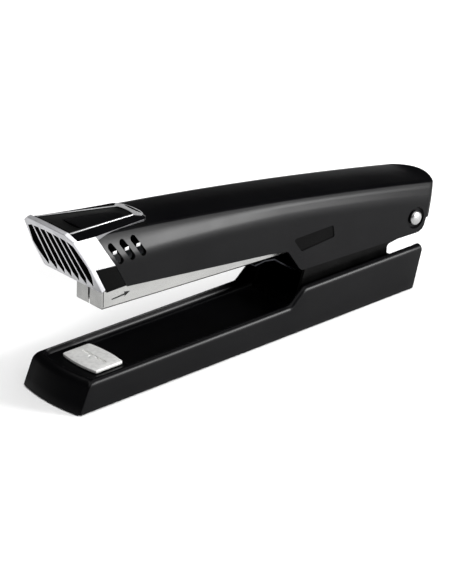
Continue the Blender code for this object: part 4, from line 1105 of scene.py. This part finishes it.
def makePin():
    p = pinShape
    seat = sideHalf(pivotY) - 0.4
    dome = [(p["head"] * math.cos(a), seat + 0.35 + (p["rise"] - 0.35) * math.sin(a))
            for a in np.linspace(math.pi / 2, 0, 12)]
    profile = [(0.0, seat + p["rise"])] + dome[1:] + [(p["head"] - 0.12, seat), (p["radius"], seat),
                                                     (p["radius"], -seat - 0.3), (0.0, -seat - 0.3)]
    pin = turnedPiece("pivotPin", profile, (0, pivotY, pivotZ), "X", 56)
    smooth(pin, 40)
    finishPiece(pin, "base", "nickel", pinSteel, "pivot_pin")


makePin()
print("pin made")


slotMaterials = {"satin_black": mouldedAbs, "gloss_black": polishedAbs, "black_steel": blackSteel,
                 "rubber": rubber, "grip": softPad, "nickel": nickel, "zinc": zinc,
                 "spring_steel": shadeDarkSpringSteel,
                 "satin_silver": satinPlate, "chrome": chrome, "nylon": nylon}
slotOf = {s["node"]: s["material_slot"] for s in record["subparts"]}
for node, obj in frame["nodes"].items():
    if obj.hide_render:
        continue
    obj.data.materials.clear()
    obj.data.materials.append(slotMaterials[slotOf[node]])
print("frame pieces painted")


stage = {"camera": (49.0, 23.8), "distance": 0.99, "target": (0.0, -0.009, 0.0385), "lens": 212.0,
         "sensor": 36, "shift": (0.0018, -0.11), "air": 0.03}


def makeFloor():
    deselectAll()
    bpy.ops.mesh.primitive_plane_add(size=6)
    floor = named(bpy.context.object, "floor")
    material, tree, shader = startMaterial("paleStudioPaper", "#fbfbfb", 0.9)
    addColourSpread(tree, shader, 60, "#f9f9f9", "#fdfdfd")
    floor.data.materials.append(material)


def makeLight(name, place, aim, size, power):
    light = bpy.data.lights.new(name, "AREA")
    light.shape = "RECTANGLE"
    light.size, light.size_y = size
    light.energy = power
    obj = bpy.data.objects.new(name, light)
    bpy.context.scene.collection.objects.link(obj)
    obj.location = place
    obj.rotation_euler = (Vector(aim) - Vector(place)).to_track_quat("-Z", "Y").to_euler()
    return obj


makeFloor()
makeLight("topSoftbox", (0.15, -0.1, 1.5), (0, 0, 0), (2.2, 2.2), 40)
makeLight("bandLight", (0.64, 0.5, 0.24), (0, -0.02, 0.05), (0.35, 0.18), 13.0)
makeLight("noseCard", (0.62, 0.36, 0.11), (0, -0.08, 0.06), (0.3, 0.18), 1.2)
world = bpy.data.worlds.new("studioAir")
bpy.context.scene.world = world
world.use_nodes = True
world.node_tree.nodes["Background"].inputs["Color"].default_value = (1, 1, 1, 1)
world.node_tree.nodes["Background"].inputs["Strength"].default_value = stage["air"]

azimuth, elevation = (math.radians(v) for v in stage["camera"])
target = Vector(stage["target"])
away = Vector((math.sin(azimuth) * math.cos(elevation), -math.cos(azimuth) * math.cos(elevation),
               math.sin(elevation)))
cameraData = bpy.data.cameras.new("camera")
camera = bpy.data.objects.new("camera", cameraData)
bpy.context.scene.collection.objects.link(camera)
camera.location = target + away * stage["distance"]
camera.rotation_euler = (-away).to_track_quat("-Z", "Y").to_euler()
cameraData.sensor_fit = "HORIZONTAL"
cameraData.sensor_width = stage["sensor"]
cameraData.lens = stage["lens"]
cameraData.shift_x, cameraData.shift_y = stage["shift"]
cameraData.clip_start = 0.01
bpy.context.scene.camera = camera
bpy.context.scene.view_settings.view_transform = "Standard"
print("stage set")
